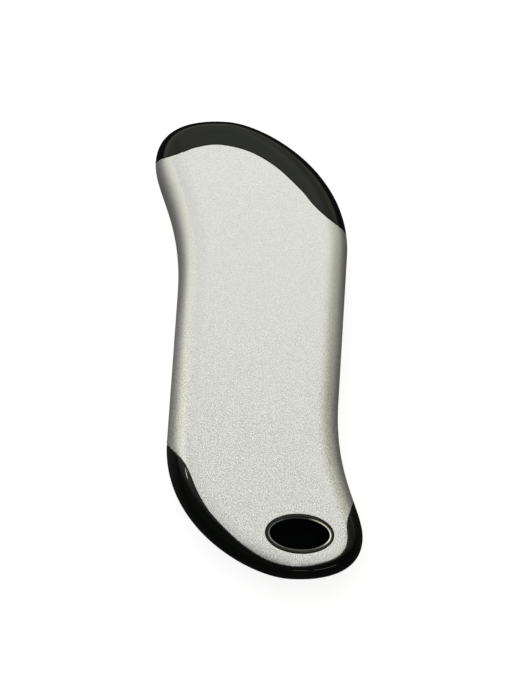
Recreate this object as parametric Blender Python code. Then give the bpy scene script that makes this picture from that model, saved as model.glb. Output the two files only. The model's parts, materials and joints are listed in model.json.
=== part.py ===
"""Rechargeable electric hand warmer with a lanyard eye, as an assembly of its pieces.

X runs across the grip, Y along it and Z up. The unit lies on its front face at z = 0 with
its rear face up, and the origin is the middle of the grip on that front face.
"""
import math

import bmesh
import bpy
from mathutils import Matrix, Vector

MM = 0.001

# Walls and clearances
CLEARANCE = 0.3 * MM
OVERRUN = 2.0 * MM
SHELL_WALL = 1.5 * MM
LIP_THICKNESS = 0.6 * MM
LIP_HEIGHT = 1.2 * MM
TONGUE_WALL = 0.8 * MM
TONGUE_DEPTH = 2.0 * MM
LEVEL_SPACING = 0.25 * MM

# Battery cells, side by side along the grip
CELL_DIAMETER = 18.2 * MM
CELL_LENGTH = 65.0 * MM
CELL_GAP = 0.2 * MM
CELL_NUB_DIAMETER = 5.6 * MM
CELL_NUB_HEIGHT = 0.8 * MM
CELL_EDGE = 0.6 * MM
CELL_GROOVE_DEPTH = 0.35 * MM
CELL_GROOVE_WIDTH = 1.2 * MM
CELL_GROOVE_FROM_END = 2.6 * MM
STRIP_THICKNESS = 0.2 * MM
STRIP_WIDTH = 7.0 * MM
STRIP_OVERHANG = 3.5 * MM
STRIP_TAB_WIDTH = 3.4 * MM

# What stands between the cells and the body's faces, sides and ends
FILM_THICKNESS = 0.25 * MM
PAD_THICKNESS = 0.75 * MM
SIDE_ROOM = 3.7 * MM
HOLDER_END_WALL = 1.5 * MM
BOARD_HOLDER_GAP = 1.7 * MM
SCREW_ROW_DEPTH = 5.4 * MM
USB_DEPTH = 14.0 * MM
PORT_SETBACK = 3.1 * MM

# The body's overall sizes follow from what it holds
GRIP_WIDTH = 2 * CELL_DIAMETER + CELL_GAP + 2 * SIDE_ROOM
THICKNESS = CELL_DIAMETER + 2 * (SHELL_WALL + FILM_THICKNESS + PAD_THICKNESS + 3 * CLEARANCE)
HOLDER_END_DEPTH = CLEARANCE + STRIP_THICKNESS + CLEARANCE + HOLDER_END_WALL
END_LENGTH = HOLDER_END_DEPTH + BOARD_HOLDER_GAP + SCREW_ROW_DEPTH + USB_DEPTH + PORT_SETBACK
BODY_LENGTH = CELL_LENGTH + 2 * END_LENGTH
HALF_GRIP = GRIP_WIDTH / 2
HALF_LENGTH = BODY_LENGTH / 2
HALF_THICKNESS = THICKNESS / 2
MIDDLE_Z = HALF_THICKNESS

# Outline: a straight grip between two lobes, the same again after half a turn. Places and
# handles are (share of the half grip, share of the end length down from the crest)
SHOULDER_START_SHARES = (1.0, 1.250)
WAIST_START_SHARES = (-1.0, 1.727)
CREST_SHARES = (-0.541, 0.0)
LOBE_WIDEST_SHARES = (-1.3785, 0.427)
SHOULDER_HANDLE_SHARE = 0.822
WAIST_HANDLE_SHARE = 0.734
LOBE_UPPER_HANDLE_SHARE = 0.411
LOBE_LOWER_HANDLE_SHARE = 0.279
CREST_OUTER_HANDLE_SHARE = 0.485
CREST_INNER_HANDLE_SHARE = 0.181

# Depth of the rounding from a side, the crest and the foot in to the flat faces
SIDE_ROUND = 7.5 * MM
CREST_ROUND = 4.0 * MM
FOOT_ROUND = 6.0 * MM
ROUND_POWER = 2.5
LEAST_ROUND_SHARE = 0.15

STRAIGHT_STEPS = 2
SHOULDER_STEPS = 14
CORNER_STEPS = 11
WAIST_STEPS = 11
LEVEL_STEPS = 4
ROUND_SIDES = 24
SMALL_SIDES = 12

# Seams between the shells and the caps: (share of the half grip, share of the end length
# down from the body's end)
TOP_SEAM_SHARES = (
    (-1.60, 0.475), (-1.36, 0.460), (-1.20, 0.450), (-1.04, 0.403), (-0.88, 0.343), (-0.62, 0.301),
    (-0.27, 0.345), (0.06, 0.479), (0.37, 0.690), (0.53, 0.830), (0.70, 0.944), (0.86, 1.015),
    (1.02, 1.064), (1.20, 1.113),
)
FOOT_SEAM_SHARES = (
    (-1.20, 1.380), (-0.97, 1.211), (-0.78, 1.069), (-0.69, 0.953), (-0.57, 0.761),
    (-0.39, 0.566), (-0.03, 0.316), (0.32, 0.174), (0.66, 0.151), (0.97, 0.223),
    (1.11, 0.309), (1.155, 0.423), (1.14, 0.579), (1.175, 0.701), (1.23, 0.802), (1.33, 0.991),
)
SEAM_STEPS = 4
FAR_SIDE_SHARE = 2.0

# Lanyard eyelet: an oval liner from face to face
EYELET_PLACE_SHARES = (0.6045, 0.4547)
EYELET_BORE_WIDTH = 15.2 * MM
EYELET_BORE_HEIGHT = 7.7 * MM
EYELET_WALL = 1.0 * MM
EYELET_MOUTH_FLARE = 0.45 * MM
MOUTH_CURVE_SHARES = ((0.3, 0.6), (0.0, 1.6))
EYELET_EDGE_ROUND = 0.3 * MM
EYELET_COLLAR = 1.4 * MM
EYELET_COLLAR_THICKNESS = 1.0 * MM
EYELET_RECESS = 0.1 * MM
EYELET_SIDES = 32

# Holders at both ends of the cells
HOLDER_GRIP = 6.5 * MM
LEAD_NOTCH_WIDTH = 5.0 * MM

# Heater films and the foam pads that press them on the shells
FILM_SIDE_GAP = 0.5 * MM
FILM_CORNER = 3.0 * MM
FILM_END_GAP = 0.6 * MM
PAD_SIDE_GAP = 1.0 * MM
PAD_CORNER = 2.0 * MM
PAD_END_GAP = 1.2 * MM
TAIL_WIDTH = 4.0 * MM
TAIL_SPACING = 7.0 * MM
TAIL_BEND = 1.2 * MM
CONNECTOR_WIDTH = 6.4 * MM
CONNECTOR_DEPTH = 2.0 * MM
CONNECTOR_HEIGHT = 1.0 * MM

# Main board
BOARD_THICKNESS = 1.6 * MM
BOARD_TOP_DROP = 4.5 * MM

# Screws and the posts that take them
SCREW_SHANK = 2.0 * MM
SCREW_HEAD = 3.6 * MM
SCREW_HEAD_HEIGHT = 1.2 * MM
SCREW_HEAD_DOME = 0.4 * MM
SCREW_REACH = 3.4 * MM
SCREW_SOCKET = 1.5 * MM
SCREW_SOCKET_DEPTH = 0.6 * MM
SOCKET_SIDES = 6
POST_DIAMETER = 4.4 * MM
POST_ROOT = 0.8 * MM

# Places of the posts
SHELL_POST_X_SHARES = (-0.91, -0.16)
SHELL_POST_FROM_EDGE = 2.4 * MM
CAP_POST_CORNER_INSET = 5.9 * MM
CAP_POST_SHOULDER_INSET = 5.6 * MM
CAP_POST_CORNER_SHARE = 0.90
CAP_POST_SHOULDER_SHARE = 0.42
LUG_WIDTH = 4.0 * MM
LUG_ROOT_INSET = 1.2 * MM
LUG_SHOULDER_SHARE = 0.50
LUG_FLANK_SHARE = 0.14
LUG_SCREW_SHARES = ((-0.12, 0.630), (0.936, 0.717))

# Charging and output sockets in the top cap's wall
USB_SCREW_GAP = 0.8 * MM
USB_WIDTH = 13.2 * MM
USB_HEIGHT = 5.8 * MM
USB_WALL = 0.35 * MM
USB_CORNER = 0.9 * MM
USB_BLOCK_DEPTH = 3.6 * MM
USB_TONGUE_SIDE_GAP = 1.05 * MM
USB_TONGUE_THICKNESS = 1.8 * MM
USB_TONGUE_SETBACK = 1.2 * MM
PORT_GAP = 0.85 * MM
MICRO_WIDTH = 7.5 * MM
MICRO_HEIGHT = 2.7 * MM
MICRO_DEPTH = 5.4 * MM
MICRO_WALL = 0.3 * MM
MICRO_CORNER = 0.7 * MM
MICRO_BLOCK_DEPTH = 1.4 * MM
MICRO_TONGUE_SIDE_GAP = 1.9 * MM
MICRO_TONGUE_THICKNESS = 0.6 * MM
MICRO_TONGUE_SETBACK = 0.8 * MM

# Power button, its switch, and the status lights beside it
BUTTON_SHOULDER_SHARE = 0.53
BUTTON_WIDTH = 9.4 * MM
BUTTON_HEIGHT = 4.6 * MM
BUTTON_SUNK = 0.3 * MM
BUTTON_EDGE = 0.35 * MM
BUTTON_TRAVEL = 0.5 * MM
FLANGE_RIM = 0.9 * MM
FLANGE_THICKNESS = 0.8 * MM
WALL_BOW = 0.7 * MM
STEM_DIAMETER = 3.4 * MM
STEM_LENGTH = 1.1 * MM
PLUNGER_DIAMETER = 2.6 * MM
PLUNGER_LENGTH = 1.5 * MM
SWITCH_WIDTH = 6.0 * MM
SWITCH_DEPTH = 3.6 * MM
SWITCH_ABOVE_PLUNGER = 1.5 * MM
LIGHT_SHOULDER_SHARE = 0.29
LIGHT_COUNT = 4
LIGHT_PITCH = 2.2 * MM
LENS_DIAMETER = 1.3 * MM
LENS_SUNK = 0.3 * MM
PIPE_BAR_THICKNESS = 1.0 * MM
PIPE_BAR_END = 1.0 * MM
LED_SIZE = 1.1 * MM
LED_HEIGHT = 0.8 * MM

# Parts on the board: sizes, places across as shares of the half grip, and distances
# from the board's lower edge
CHIP_SIDE = 3.4 * MM
CHIP_HEIGHT = 1.0 * MM
TOP_CHIP_X_SHARE = 0.41
TOP_CHIP_FROM_EDGE = 2.1 * MM
UNDER_CHIP_X_SHARES = (-0.68, -0.27)
UNDER_CHIP_FROM_EDGE = 9.0 * MM
CAPACITOR_X_SHARE = -1.12
CAPACITOR_FROM_EDGE = 4.3 * MM
CAPACITOR_SPACING = 2.9 * MM
CAPACITOR_LENGTH = 2.6 * MM
CAPACITOR_WIDTH = 1.6 * MM
CAPACITOR_HEIGHT = 1.4 * MM
INDUCTOR_USB_GAP = 0.6 * MM
INDUCTOR_FROM_EDGE = 7.6 * MM
INDUCTOR_SIDE = 4.6 * MM
INDUCTOR_HEIGHT = 3.0 * MM
INDUCTOR_CORNER = 1.4 * MM

# Leads inside the body
LEAD_DIAMETER = 1.2 * MM
LEAD_SPREAD = 1.2 * MM
LEAD_STATION_SHARES = (-2, -1, 0, 1)
LEAD_ROUNDING = 1
LEAD_STEPS = 2
THERMISTOR_DIAMETER = 1.8 * MM
THERMISTOR_LENGTH = 3.0 * MM
THERMISTOR_Y = 4.0 * MM
POSITIVE_LEAD_X = 5.0 * MM
LEAD_PAD_FROM_EDGE = 1.7 * MM
NEGATIVE_PAD_X = 0.6 * MM
LEAD_PAD_SPACING = 2.0 * MM

# Derived sizes
TONGUE_INSET = SHELL_WALL + CLEARANCE
CAVITY_INSET = TONGUE_INSET + TONGUE_WALL
BOARD_INSET = CAVITY_INSET + CLEARANCE
BOARD_TOP_Z = MIDDLE_Z - BOARD_TOP_DROP
BOARD_LOW_Z = BOARD_TOP_Z - BOARD_THICKNESS
CELL_RADIUS = CELL_DIAMETER / 2
CELL_X = CELL_RADIUS + CELL_GAP / 2
CELL_END_Y = CELL_LENGTH / 2
HOLDER_OUTER_Y = CELL_END_Y + HOLDER_END_DEPTH
SOCKET_FLOOR_Y = HOLDER_OUTER_Y - HOLDER_END_WALL
HOLDER_INNER_Y = CELL_END_Y - HOLDER_GRIP
BOARD_EDGE_Y = HOLDER_OUTER_Y + BOARD_HOLDER_GAP
FILM_WIDTH = GRIP_WIDTH - 2 * (SIDE_ROUND + FILM_SIDE_GAP)
PAD_WIDTH = FILM_WIDTH - 2 * PAD_SIDE_GAP
PORT_MOUTH_Y = HALF_LENGTH - PORT_SETBACK
TAIL_X = HALF_GRIP * SHELL_POST_X_SHARES[1] - TAIL_SPACING
EYELET_X = HALF_GRIP * EYELET_PLACE_SHARES[0]
EYELET_Y = END_LENGTH * EYELET_PLACE_SHARES[1] - HALF_LENGTH


def clear_scene():
    """Remove whatever the open file holds."""
    for item in list(bpy.data.objects):
        bpy.data.objects.remove(item, do_unlink=True)


def finish(name, colour, roughness, metallic=0.0, alpha=1.0):
    """Make a plain material."""
    made = bpy.data.materials.new(name)
    made.use_nodes = True
    shader = made.node_tree.nodes["Principled BSDF"]
    shader.inputs["Base Color"].default_value = (*colour, 1.0)
    shader.inputs["Roughness"].default_value = roughness
    shader.inputs["Metallic"].default_value = metallic
    shader.inputs["Alpha"].default_value = alpha
    return made


def face_outwards(bm, faces):
    """Turn the faces of one closed solid outwards."""
    bmesh.ops.recalc_face_normals(bm, faces=faces)
    middle = sum((face.calc_center_median() for face in faces), Vector()) / len(faces)
    volume = sum(face.calc_area() * face.normal.dot(face.calc_center_median() - middle) for face in faces)
    if volume < 0:
        bmesh.ops.reverse_faces(bm, faces=faces)


def make_object(name, bm, material=None, sharp_degrees=35.0):
    """Turn a bmesh into an object; without a material it is a hidden cutter."""
    mesh = bpy.data.meshes.new(name)
    bm.to_mesh(mesh)
    bm.free()
    mesh.shade_smooth()
    mesh.set_sharp_from_angle(angle=math.radians(sharp_degrees))
    made = bpy.data.objects.new(name, mesh)
    bpy.context.scene.collection.objects.link(made)
    if material is None:
        made.hide_render = True
        made.display_type = "WIRE"
    else:
        mesh.materials.append(material)
    return made


def combine(target, tool, operation):
    """Add a live exact Boolean."""
    modifier = target.modifiers.new(operation.lower() + "_" + tool.name, "BOOLEAN")
    modifier.operation = operation
    modifier.object = tool
    modifier.solver = "EXACT"


def cut(target, *tools):
    """Take hidden solids away from an object."""
    for tool in tools:
        combine(target, tool, "DIFFERENCE")


def join(target, *tools):
    """Fuse hidden solids to an object."""
    for tool in tools:
        combine(target, tool, "UNION")


def keep(target, tool):
    """Keep only what lies inside a hidden solid."""
    combine(target, tool, "INTERSECT")


def loft(bm, rings):
    """Extrude a closed ring through rings of equal count and close both ends."""
    present = set(bm.faces)
    verts = [bm.verts.new(point) for point in rings[0]]
    edges = list(bm.faces.new(verts).edges)
    for ring in rings[1:]:
        grown = bmesh.ops.extrude_edge_only(bm, edges=edges)["geom"]
        fresh = {item for item in grown if isinstance(item, bmesh.types.BMVert)}
        twins = []
        for vert, point in zip(verts, ring):
            reached = [edge.other_vert(vert) for edge in vert.link_edges]
            twin = next(other for other in reached if other in fresh)
            twin.co = point
            twins.append(twin)
        grown_edges = [item for item in grown if isinstance(item, bmesh.types.BMEdge)]
        edges = [edge for edge in grown_edges if fresh.issuperset(edge.verts)]
        verts = twins
    bm.faces.new(verts)
    face_outwards(bm, [face for face in bm.faces if face not in present])


def add_prism(bm, outline, low, high, frame=None):
    """Extrude a flat outline from low to high along the frame's third axis."""
    frame = frame or Matrix.Identity(4)
    present = set(bm.faces)
    verts = [bm.verts.new(frame @ Vector((u, v, low))) for u, v in outline]
    face = bm.faces.new(verts)
    grown = bmesh.ops.extrude_face_region(bm, geom=[face])
    moved = [item for item in grown["geom"] if isinstance(item, bmesh.types.BMVert)]
    rise = frame.to_3x3() @ Vector((0, 0, high - low))
    bmesh.ops.translate(bm, verts=moved, vec=rise)
    face_outwards(bm, [face for face in bm.faces if face not in present])


def add_lathe(bm, profile, frame, sides=ROUND_SIDES):
    """Loft circles whose radius and height follow the profile."""
    rings = []
    for radius, height in profile:
        rings.append([frame @ Vector((u, v, height)) for u, v in ellipse(radius, radius, sides)])
    loft(bm, rings)


def ellipse(half_width, half_height, sides):
    """Points of an ellipse about the origin."""
    angles = [2 * math.pi * step / sides for step in range(sides)]
    return [(half_width * math.cos(angle), half_height * math.sin(angle)) for angle in angles]


def rounded_rectangle(width, height, radius, steps=3):
    """Points of a rectangle with round corners; a full radius makes a slot."""
    radius = min(radius, width / 2, height / 2)
    points = []
    corners = ((1, 1, 0), (-1, 1, 1), (-1, -1, 2), (1, -1, 3))
    for side_u, side_v, quarter in corners:
        for step in range(steps + 1):
            angle = math.pi / 2 * (quarter + step / steps)
            u = side_u * (width / 2 - radius) + radius * math.cos(angle)
            v = side_v * (height / 2 - radius) + radius * math.sin(angle)
            if not points or math.dist(points[-1], (u, v)) > radius / 100:
                points.append((u, v))
    if math.dist(points[0], points[-1]) <= radius / 100:
        points.pop()
    return points


def box_outline(width, low, high):
    """Rectangle centred across, between two heights."""
    return [(-width / 2, low), (width / 2, low), (width / 2, high), (-width / 2, high)]


def place(x=0.0, y=0.0, z=0.0):
    """Frame with the world's own directions."""
    return Matrix.Translation((x, y, z))


def inward_frame(point, normal, z):
    """Frame on a wall: along the wall, up, and into the body."""
    frame = Matrix.Identity(4)
    frame.col[0] = (normal.y, -normal.x, 0, 0)
    frame.col[1] = (0, 0, 1, 0)
    frame.col[2] = (-normal.x, -normal.y, 0, 0)
    frame.col[3] = (point.x, point.y, z, 1)
    return frame


def along_y(x, y, z):
    """Frame whose third axis runs along +Y."""
    return inward_frame(Vector((x, y)), Vector((0, -1)), z)


def along_x(x, y, z):
    """Frame whose axes are +Y, +Z and +X."""
    frame = Matrix.Identity(4)
    frame.col[0] = (0, 1, 0, 0)
    frame.col[1] = (0, 0, 1, 0)
    frame.col[2] = (1, 0, 0, 0)
    frame.col[3] = (x, y, z, 1)
    return frame


def cubic(handles, share):
    """Point and direction of a cubic span at a share of its run."""
    a, b, c, d = handles
    rest = 1 - share
    point = a * rest ** 3 + b * (3 * rest ** 2 * share) + c * (3 * rest * share ** 2) + d * share ** 3
    slope = (b - a) * rest ** 2 + (c - b) * (2 * rest * share) + (d - c) * share ** 2
    return point, slope.normalized()


def end_place(shares, turned=False):
    """Place on the upper end, or on the lower one as seen from the same side."""
    across, down = shares
    y = HALF_LENGTH - END_LENGTH * down
    return Vector((HALF_GRIP * across, -y if turned else y))


def outline_spans():
    """The straight side and three curved spans of the upper half, counter-clockwise."""
    waist = end_place(WAIST_START_SHARES)
    side_low = -waist
    side_high = end_place(SHOULDER_START_SHARES)
    crest = end_place(CREST_SHARES)
    lobe = end_place(LOBE_WIDEST_SHARES)
    third = (side_high - side_low) / 3
    straight = (side_low, side_low + third, side_high - third, side_high)
    shoulder = (side_high, side_high + Vector((0, END_LENGTH * SHOULDER_HANDLE_SHARE)),
                crest + Vector((HALF_GRIP * CREST_OUTER_HANDLE_SHARE, 0)), crest)
    corner = (crest, crest - Vector((HALF_GRIP * CREST_INNER_HANDLE_SHARE, 0)),
              lobe + Vector((0, END_LENGTH * LOBE_UPPER_HANDLE_SHARE)), lobe)
    flank = (lobe, lobe - Vector((0, END_LENGTH * LOBE_LOWER_HANDLE_SHARE)),
             waist + Vector((0, END_LENGTH * WAIST_HANDLE_SHARE)), waist)
    return {"straight": straight, "shoulder": shoulder, "corner": corner, "flank": flank}


SPANS = outline_spans()


def wall_point(span, share, turned=False):
    """Point and outward normal on the outline, on its upper half or the turned lower one."""
    point, slope = cubic(SPANS[span], share)
    normal = Vector((slope.y, -slope.x))
    if turned:
        return -point, -normal
    return point, normal


def outline_stations():
    """All stations round the outline, each a point and its outward normal."""
    steps = {"straight": STRAIGHT_STEPS, "shoulder": SHOULDER_STEPS,
             "corner": CORNER_STEPS, "flank": WAIST_STEPS}
    stations = []
    for turned in (False, True):
        for span, count in steps.items():
            for step in range(count):
                stations.append(wall_point(span, step / count, turned))
    return stations


STATIONS = outline_stations()


def round_depth(normal):
    """Depth of the edge rounding, from the way the wall faces."""
    end = CREST_ROUND if normal.y > 0 else FOOT_ROUND
    return end + (SIDE_ROUND - end) * normal.x ** 2


def body_ring(inset, z):
    """The body's outline at one height, drawn in by an inset on all faces."""
    half = HALF_THICKNESS - inset
    height = min(1.0, abs(z - MIDDLE_Z) / half)
    drawn_in = 1 - (1 - height ** ROUND_POWER) ** (1 / ROUND_POWER)
    ring = []
    for point, normal in STATIONS:
        depth = round_depth(normal)
        depth = max(depth - inset, depth * LEAST_ROUND_SHARE)
        spot = point - normal * (inset + depth * drawn_in)
        ring.append(Vector((spot.x, spot.y, z)))
    return ring


def add_body(bm, inset, low=0.0, high=THICKNESS):
    """The body between two heights, drawn in by an inset on all faces."""
    half = HALF_THICKNESS - inset
    low = max(low, MIDDLE_Z - half)
    high = min(high, MIDDLE_Z + half)
    levels = [low]
    for step in range(-LEVEL_STEPS, LEVEL_STEPS + 1):
        angle = math.pi / 2 * step / LEVEL_STEPS
        rise = math.copysign(abs(math.sin(angle)) ** (2 / ROUND_POWER), angle)
        z = MIDDLE_Z + half * rise
        if low + LEVEL_SPACING < z < high - LEVEL_SPACING:
            levels.append(z)
    levels.append(high)
    loft(bm, [body_ring(inset, z) for z in levels])


def body_object(name, inset, low=0.0, high=THICKNESS, material=None):
    """An object holding one body solid."""
    bm = bmesh.new()
    add_body(bm, inset, low, high)
    return make_object(name, bm, material)


def smooth_line(points, steps):
    """Catmull-Rom curve through points."""
    padded = [points[0] * 2 - points[1], *points, points[-1] * 2 - points[-2]]
    line = []
    for index in range(len(points) - 1):
        p0, p1, p2, p3 = padded[index:index + 4]
        for step in range(steps):
            t = step / steps
            line.append((p1 * 2 + (p2 - p0) * t + (p0 * 2 - p1 * 5 + p2 * 4 - p3) * t ** 2
                         + (p1 * 3 - p0 - p2 * 3 + p3) * t ** 3) / 2)
    line.append(points[-1])
    return line


def shifted_line(line, distance):
    """A line moved to its left by a distance."""
    moved = []
    for index, point in enumerate(line):
        ahead = line[min(index + 1, len(line) - 1)]
        behind = line[max(index - 1, 0)]
        run = (ahead - behind).normalized()
        moved.append(point + Vector((-run.y, run.x)) * distance)
    return moved


def seam_line(shares, end):
    """A seam at one end from its table of shares."""
    return smooth_line([end_place(pair, end < 0) for pair in shares], SEAM_STEPS)


def end_region(name, shares, shift, end):
    """Everything past a seam, towards the top (end 1) or the foot (end -1)."""
    line = shifted_line(seam_line(shares, end), shift)
    far_x = HALF_GRIP * FAR_SIDE_SHARE
    far_y = HALF_LENGTH * FAR_SIDE_SHARE * end
    outline = [(-far_x, line[0].y), *[(p.x, p.y) for p in line], (far_x, line[-1].y)]
    outline += [(far_x, far_y), (-far_x, far_y)]
    bm = bmesh.new()
    add_prism(bm, outline, -OVERRUN, THICKNESS + OVERRUN)
    return make_object(name, bm)


def slab(name, low_y, high_y):
    """Everything between two places along the body."""
    bm = bmesh.new()
    far_x = HALF_GRIP * FAR_SIDE_SHARE
    outline = [(-far_x, low_y), (far_x, low_y), (far_x, high_y), (-far_x, high_y)]
    add_prism(bm, outline, -OVERRUN, THICKNESS + OVERRUN)
    return make_object(name, bm)


def shell_post_places():
    """Where the front shell's posts carry the board."""
    y = BOARD_EDGE_Y + SHELL_POST_FROM_EDGE
    return [Vector((HALF_GRIP * share, y)) for share in SHELL_POST_X_SHARES]


def cap_post_places():
    """Where the top cap's posts carry the board."""
    corner, corner_normal = wall_point("corner", CAP_POST_CORNER_SHARE)
    shoulder, shoulder_normal = wall_point("shoulder", CAP_POST_SHOULDER_SHARE)
    return [corner - corner_normal * CAP_POST_CORNER_INSET,
            shoulder - shoulder_normal * CAP_POST_SHOULDER_INSET]


def lug_lines():
    """Root and screw end of each lug of the bottom cap."""
    roots = []
    for span, share in (("shoulder", LUG_SHOULDER_SHARE), ("flank", LUG_FLANK_SHARE)):
        point, normal = wall_point(span, share, turned=True)
        roots.append(point - normal * LUG_ROOT_INSET)
    screws = [end_place(pair, turned=True) for pair in LUG_SCREW_SHARES]
    return list(zip(roots, screws))


def add_posts(bm, places, root_z):
    """Posts up to just under the board's level."""
    for spot in places:
        profile = ((POST_DIAMETER / 2, root_z - POST_ROOT), (POST_DIAMETER / 2, BOARD_LOW_Z - CLEARANCE))
        add_lathe(bm, profile, place(spot.x, spot.y), SMALL_SIDES)


def add_screw_bores(bm, places, low_z, high_z):
    """Clear holes for screws between two heights."""
    radius = SCREW_SHANK / 2 + CLEARANCE
    for spot in places:
        add_lathe(bm, ((radius, low_z), (radius, high_z)), place(spot.x, spot.y), SMALL_SIDES)


def screw_tip_z():
    """Lowest point of a screw."""
    return BOARD_LOW_Z - SCREW_REACH


def make_shells(silver):
    """Rear and front half shells with their lap joint, seams and eyelet holes."""
    top_end = end_region("top_seam_cutter", TOP_SEAM_SHARES, 0.0, 1)
    foot_end = end_region("foot_seam_cutter", FOOT_SEAM_SHARES, 0.0, -1)
    bm = bmesh.new()
    grow = EYELET_WALL + CLEARANCE
    oval = ellipse(EYELET_BORE_WIDTH / 2 + grow, EYELET_BORE_HEIGHT / 2 + grow, EYELET_SIDES)
    add_prism(bm, oval, -OVERRUN, THICKNESS + OVERRUN, place(EYELET_X, EYELET_Y))
    eye_hole = make_object("eyelet_hole_cutter", bm)
    split_low = MIDDLE_Z - CLEARANCE / 2
    split_high = MIDDLE_Z + CLEARANCE / 2
    lip_top = split_high + LIP_HEIGHT
    lip_inset = SHELL_WALL - LIP_THICKNESS

    rear = body_object("rear_shell", 0.0, split_high, THICKNESS, silver)
    cut(rear, body_object("rear_cavity_cutter", SHELL_WALL, MIDDLE_Z - OVERRUN))
    rebate_inset = lip_inset - CLEARANCE
    rebate_top = lip_top + CLEARANCE
    cut(rear, body_object("lap_rebate_cutter", rebate_inset, MIDDLE_Z - OVERRUN, rebate_top))
    cut(rear, top_end, foot_end, eye_hole)

    front = body_object("front_shell", 0.0, 0.0, split_low, silver)
    join(front, body_object("lap_lip", lip_inset, MIDDLE_Z - OVERRUN, lip_top))
    cut(front, body_object("front_cavity_cutter", SHELL_WALL, 0.0, MIDDLE_Z + LIP_HEIGHT + OVERRUN))
    places = shell_post_places() + [screw for _, screw in lug_lines()]
    bm = bmesh.new()
    add_posts(bm, places, SHELL_WALL)
    join(front, make_object("shell_posts", bm))
    bm = bmesh.new()
    add_screw_bores(bm, places, screw_tip_z() - CLEARANCE, BOARD_TOP_Z)
    cut(front, make_object("shell_post_bore_cutter", bm), top_end, foot_end, eye_hole)


def cap_object(name, shares, end, black):
    """A hollow end cap with a tongue that reaches under the shells."""
    cap = body_object(name, 0.0, material=black)
    keep(cap, end_region(name + "_region", shares, end * CLEARANCE, end))
    tongue = body_object(name + "_tongue", TONGUE_INSET)
    keep(tongue, end_region(name + "_tongue_region", shares, -end * TONGUE_DEPTH, end))
    join(cap, tongue)
    cut(cap, body_object(name + "_cavity_cutter", CAVITY_INSET))
    return cap


def port_frame(x, height):
    """Frame at a socket's mouth, running into the body."""
    z = BOARD_TOP_Z + CLEARANCE + height / 2
    return inward_frame(Vector((x, PORT_MOUTH_Y)), Vector((0, 1)), z)


def button_frame():
    """Frame on the wall at the button's middle."""
    point, normal = wall_point("shoulder", BUTTON_SHOULDER_SHARE)
    return inward_frame(point, normal, MIDDLE_Z)


def light_frame():
    """Frame on the wall at the middle of the status lights."""
    point, normal = wall_point("shoulder", LIGHT_SHOULDER_SHARE)
    return inward_frame(point, normal, MIDDLE_Z)


def light_places():
    """Places of the lights along the wall."""
    return [LIGHT_PITCH * (step - (LIGHT_COUNT - 1) / 2) for step in range(LIGHT_COUNT)]


def make_top_cap(black):
    """Top cap with its windows for sockets, button and lights, and two board posts."""
    cap = cap_object("top_cap", TOP_SEAM_SHARES, 1, black)
    places = cap_post_places()
    bm = bmesh.new()
    add_posts(bm, places, CAVITY_INSET)
    posts = make_object("top_cap_posts", bm)
    keep(posts, body_object("top_cap_post_limit", TONGUE_INSET))
    join(cap, posts)
    bm = bmesh.new()
    add_screw_bores(bm, places, screw_tip_z() - CLEARANCE, BOARD_LOW_Z)
    cut(cap, make_object("top_cap_bore_cutter", bm))
    bm = bmesh.new()
    reach = CAVITY_INSET + OVERRUN
    for x, width, height, corner in ((usb_x(), USB_WIDTH, USB_HEIGHT, USB_CORNER),
                                     (micro_x(), MICRO_WIDTH, MICRO_HEIGHT, MICRO_CORNER)):
        window = rounded_rectangle(width + 2 * CLEARANCE, height + 2 * CLEARANCE, corner + CLEARANCE)
        add_prism(bm, window, -reach, reach, port_frame(x, height))
    cut(cap, make_object("port_window_cutter", bm))
    bm = bmesh.new()
    slot_height = BUTTON_HEIGHT + 2 * CLEARANCE
    slot = rounded_rectangle(BUTTON_WIDTH + 2 * CLEARANCE, slot_height, slot_height / 2, steps=6)
    add_prism(bm, slot, -OVERRUN, reach, button_frame())
    cut(cap, make_object("button_window_cutter", bm))
    bm = bmesh.new()
    for u in light_places():
        hole = ellipse(LENS_DIAMETER / 2 + CLEARANCE, LENS_DIAMETER / 2 + CLEARANCE, SMALL_SIDES)
        add_prism(bm, hole, -OVERRUN, reach, light_frame() @ place(u))
    cut(cap, make_object("light_window_cutter", bm))


def make_bottom_cap(black):
    """Bottom cap with two screw lugs that lie on the front shell's posts."""
    cap = cap_object("bottom_cap", FOOT_SEAM_SHARES, -1, black)
    bm = bmesh.new()
    bores = bmesh.new()
    for root, screw in lug_lines():
        run = screw - root
        middle = (root + screw) / 2
        turn = Matrix.Rotation(math.atan2(run.y, run.x), 4, "Z")
        lug = rounded_rectangle(run.length + LUG_WIDTH, LUG_WIDTH, LUG_WIDTH / 2, steps=6)
        add_prism(bm, lug, BOARD_LOW_Z, BOARD_TOP_Z, place(middle.x, middle.y) @ turn)
        add_screw_bores(bores, [screw], BOARD_LOW_Z - OVERRUN, BOARD_TOP_Z + OVERRUN)
    lugs = make_object("cap_lugs", bm)
    keep(lugs, body_object("cap_lug_limit", LUG_ROOT_INSET / 2))
    join(cap, lugs)
    cut(cap, make_object("cap_lug_bore_cutter", bores))


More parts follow.
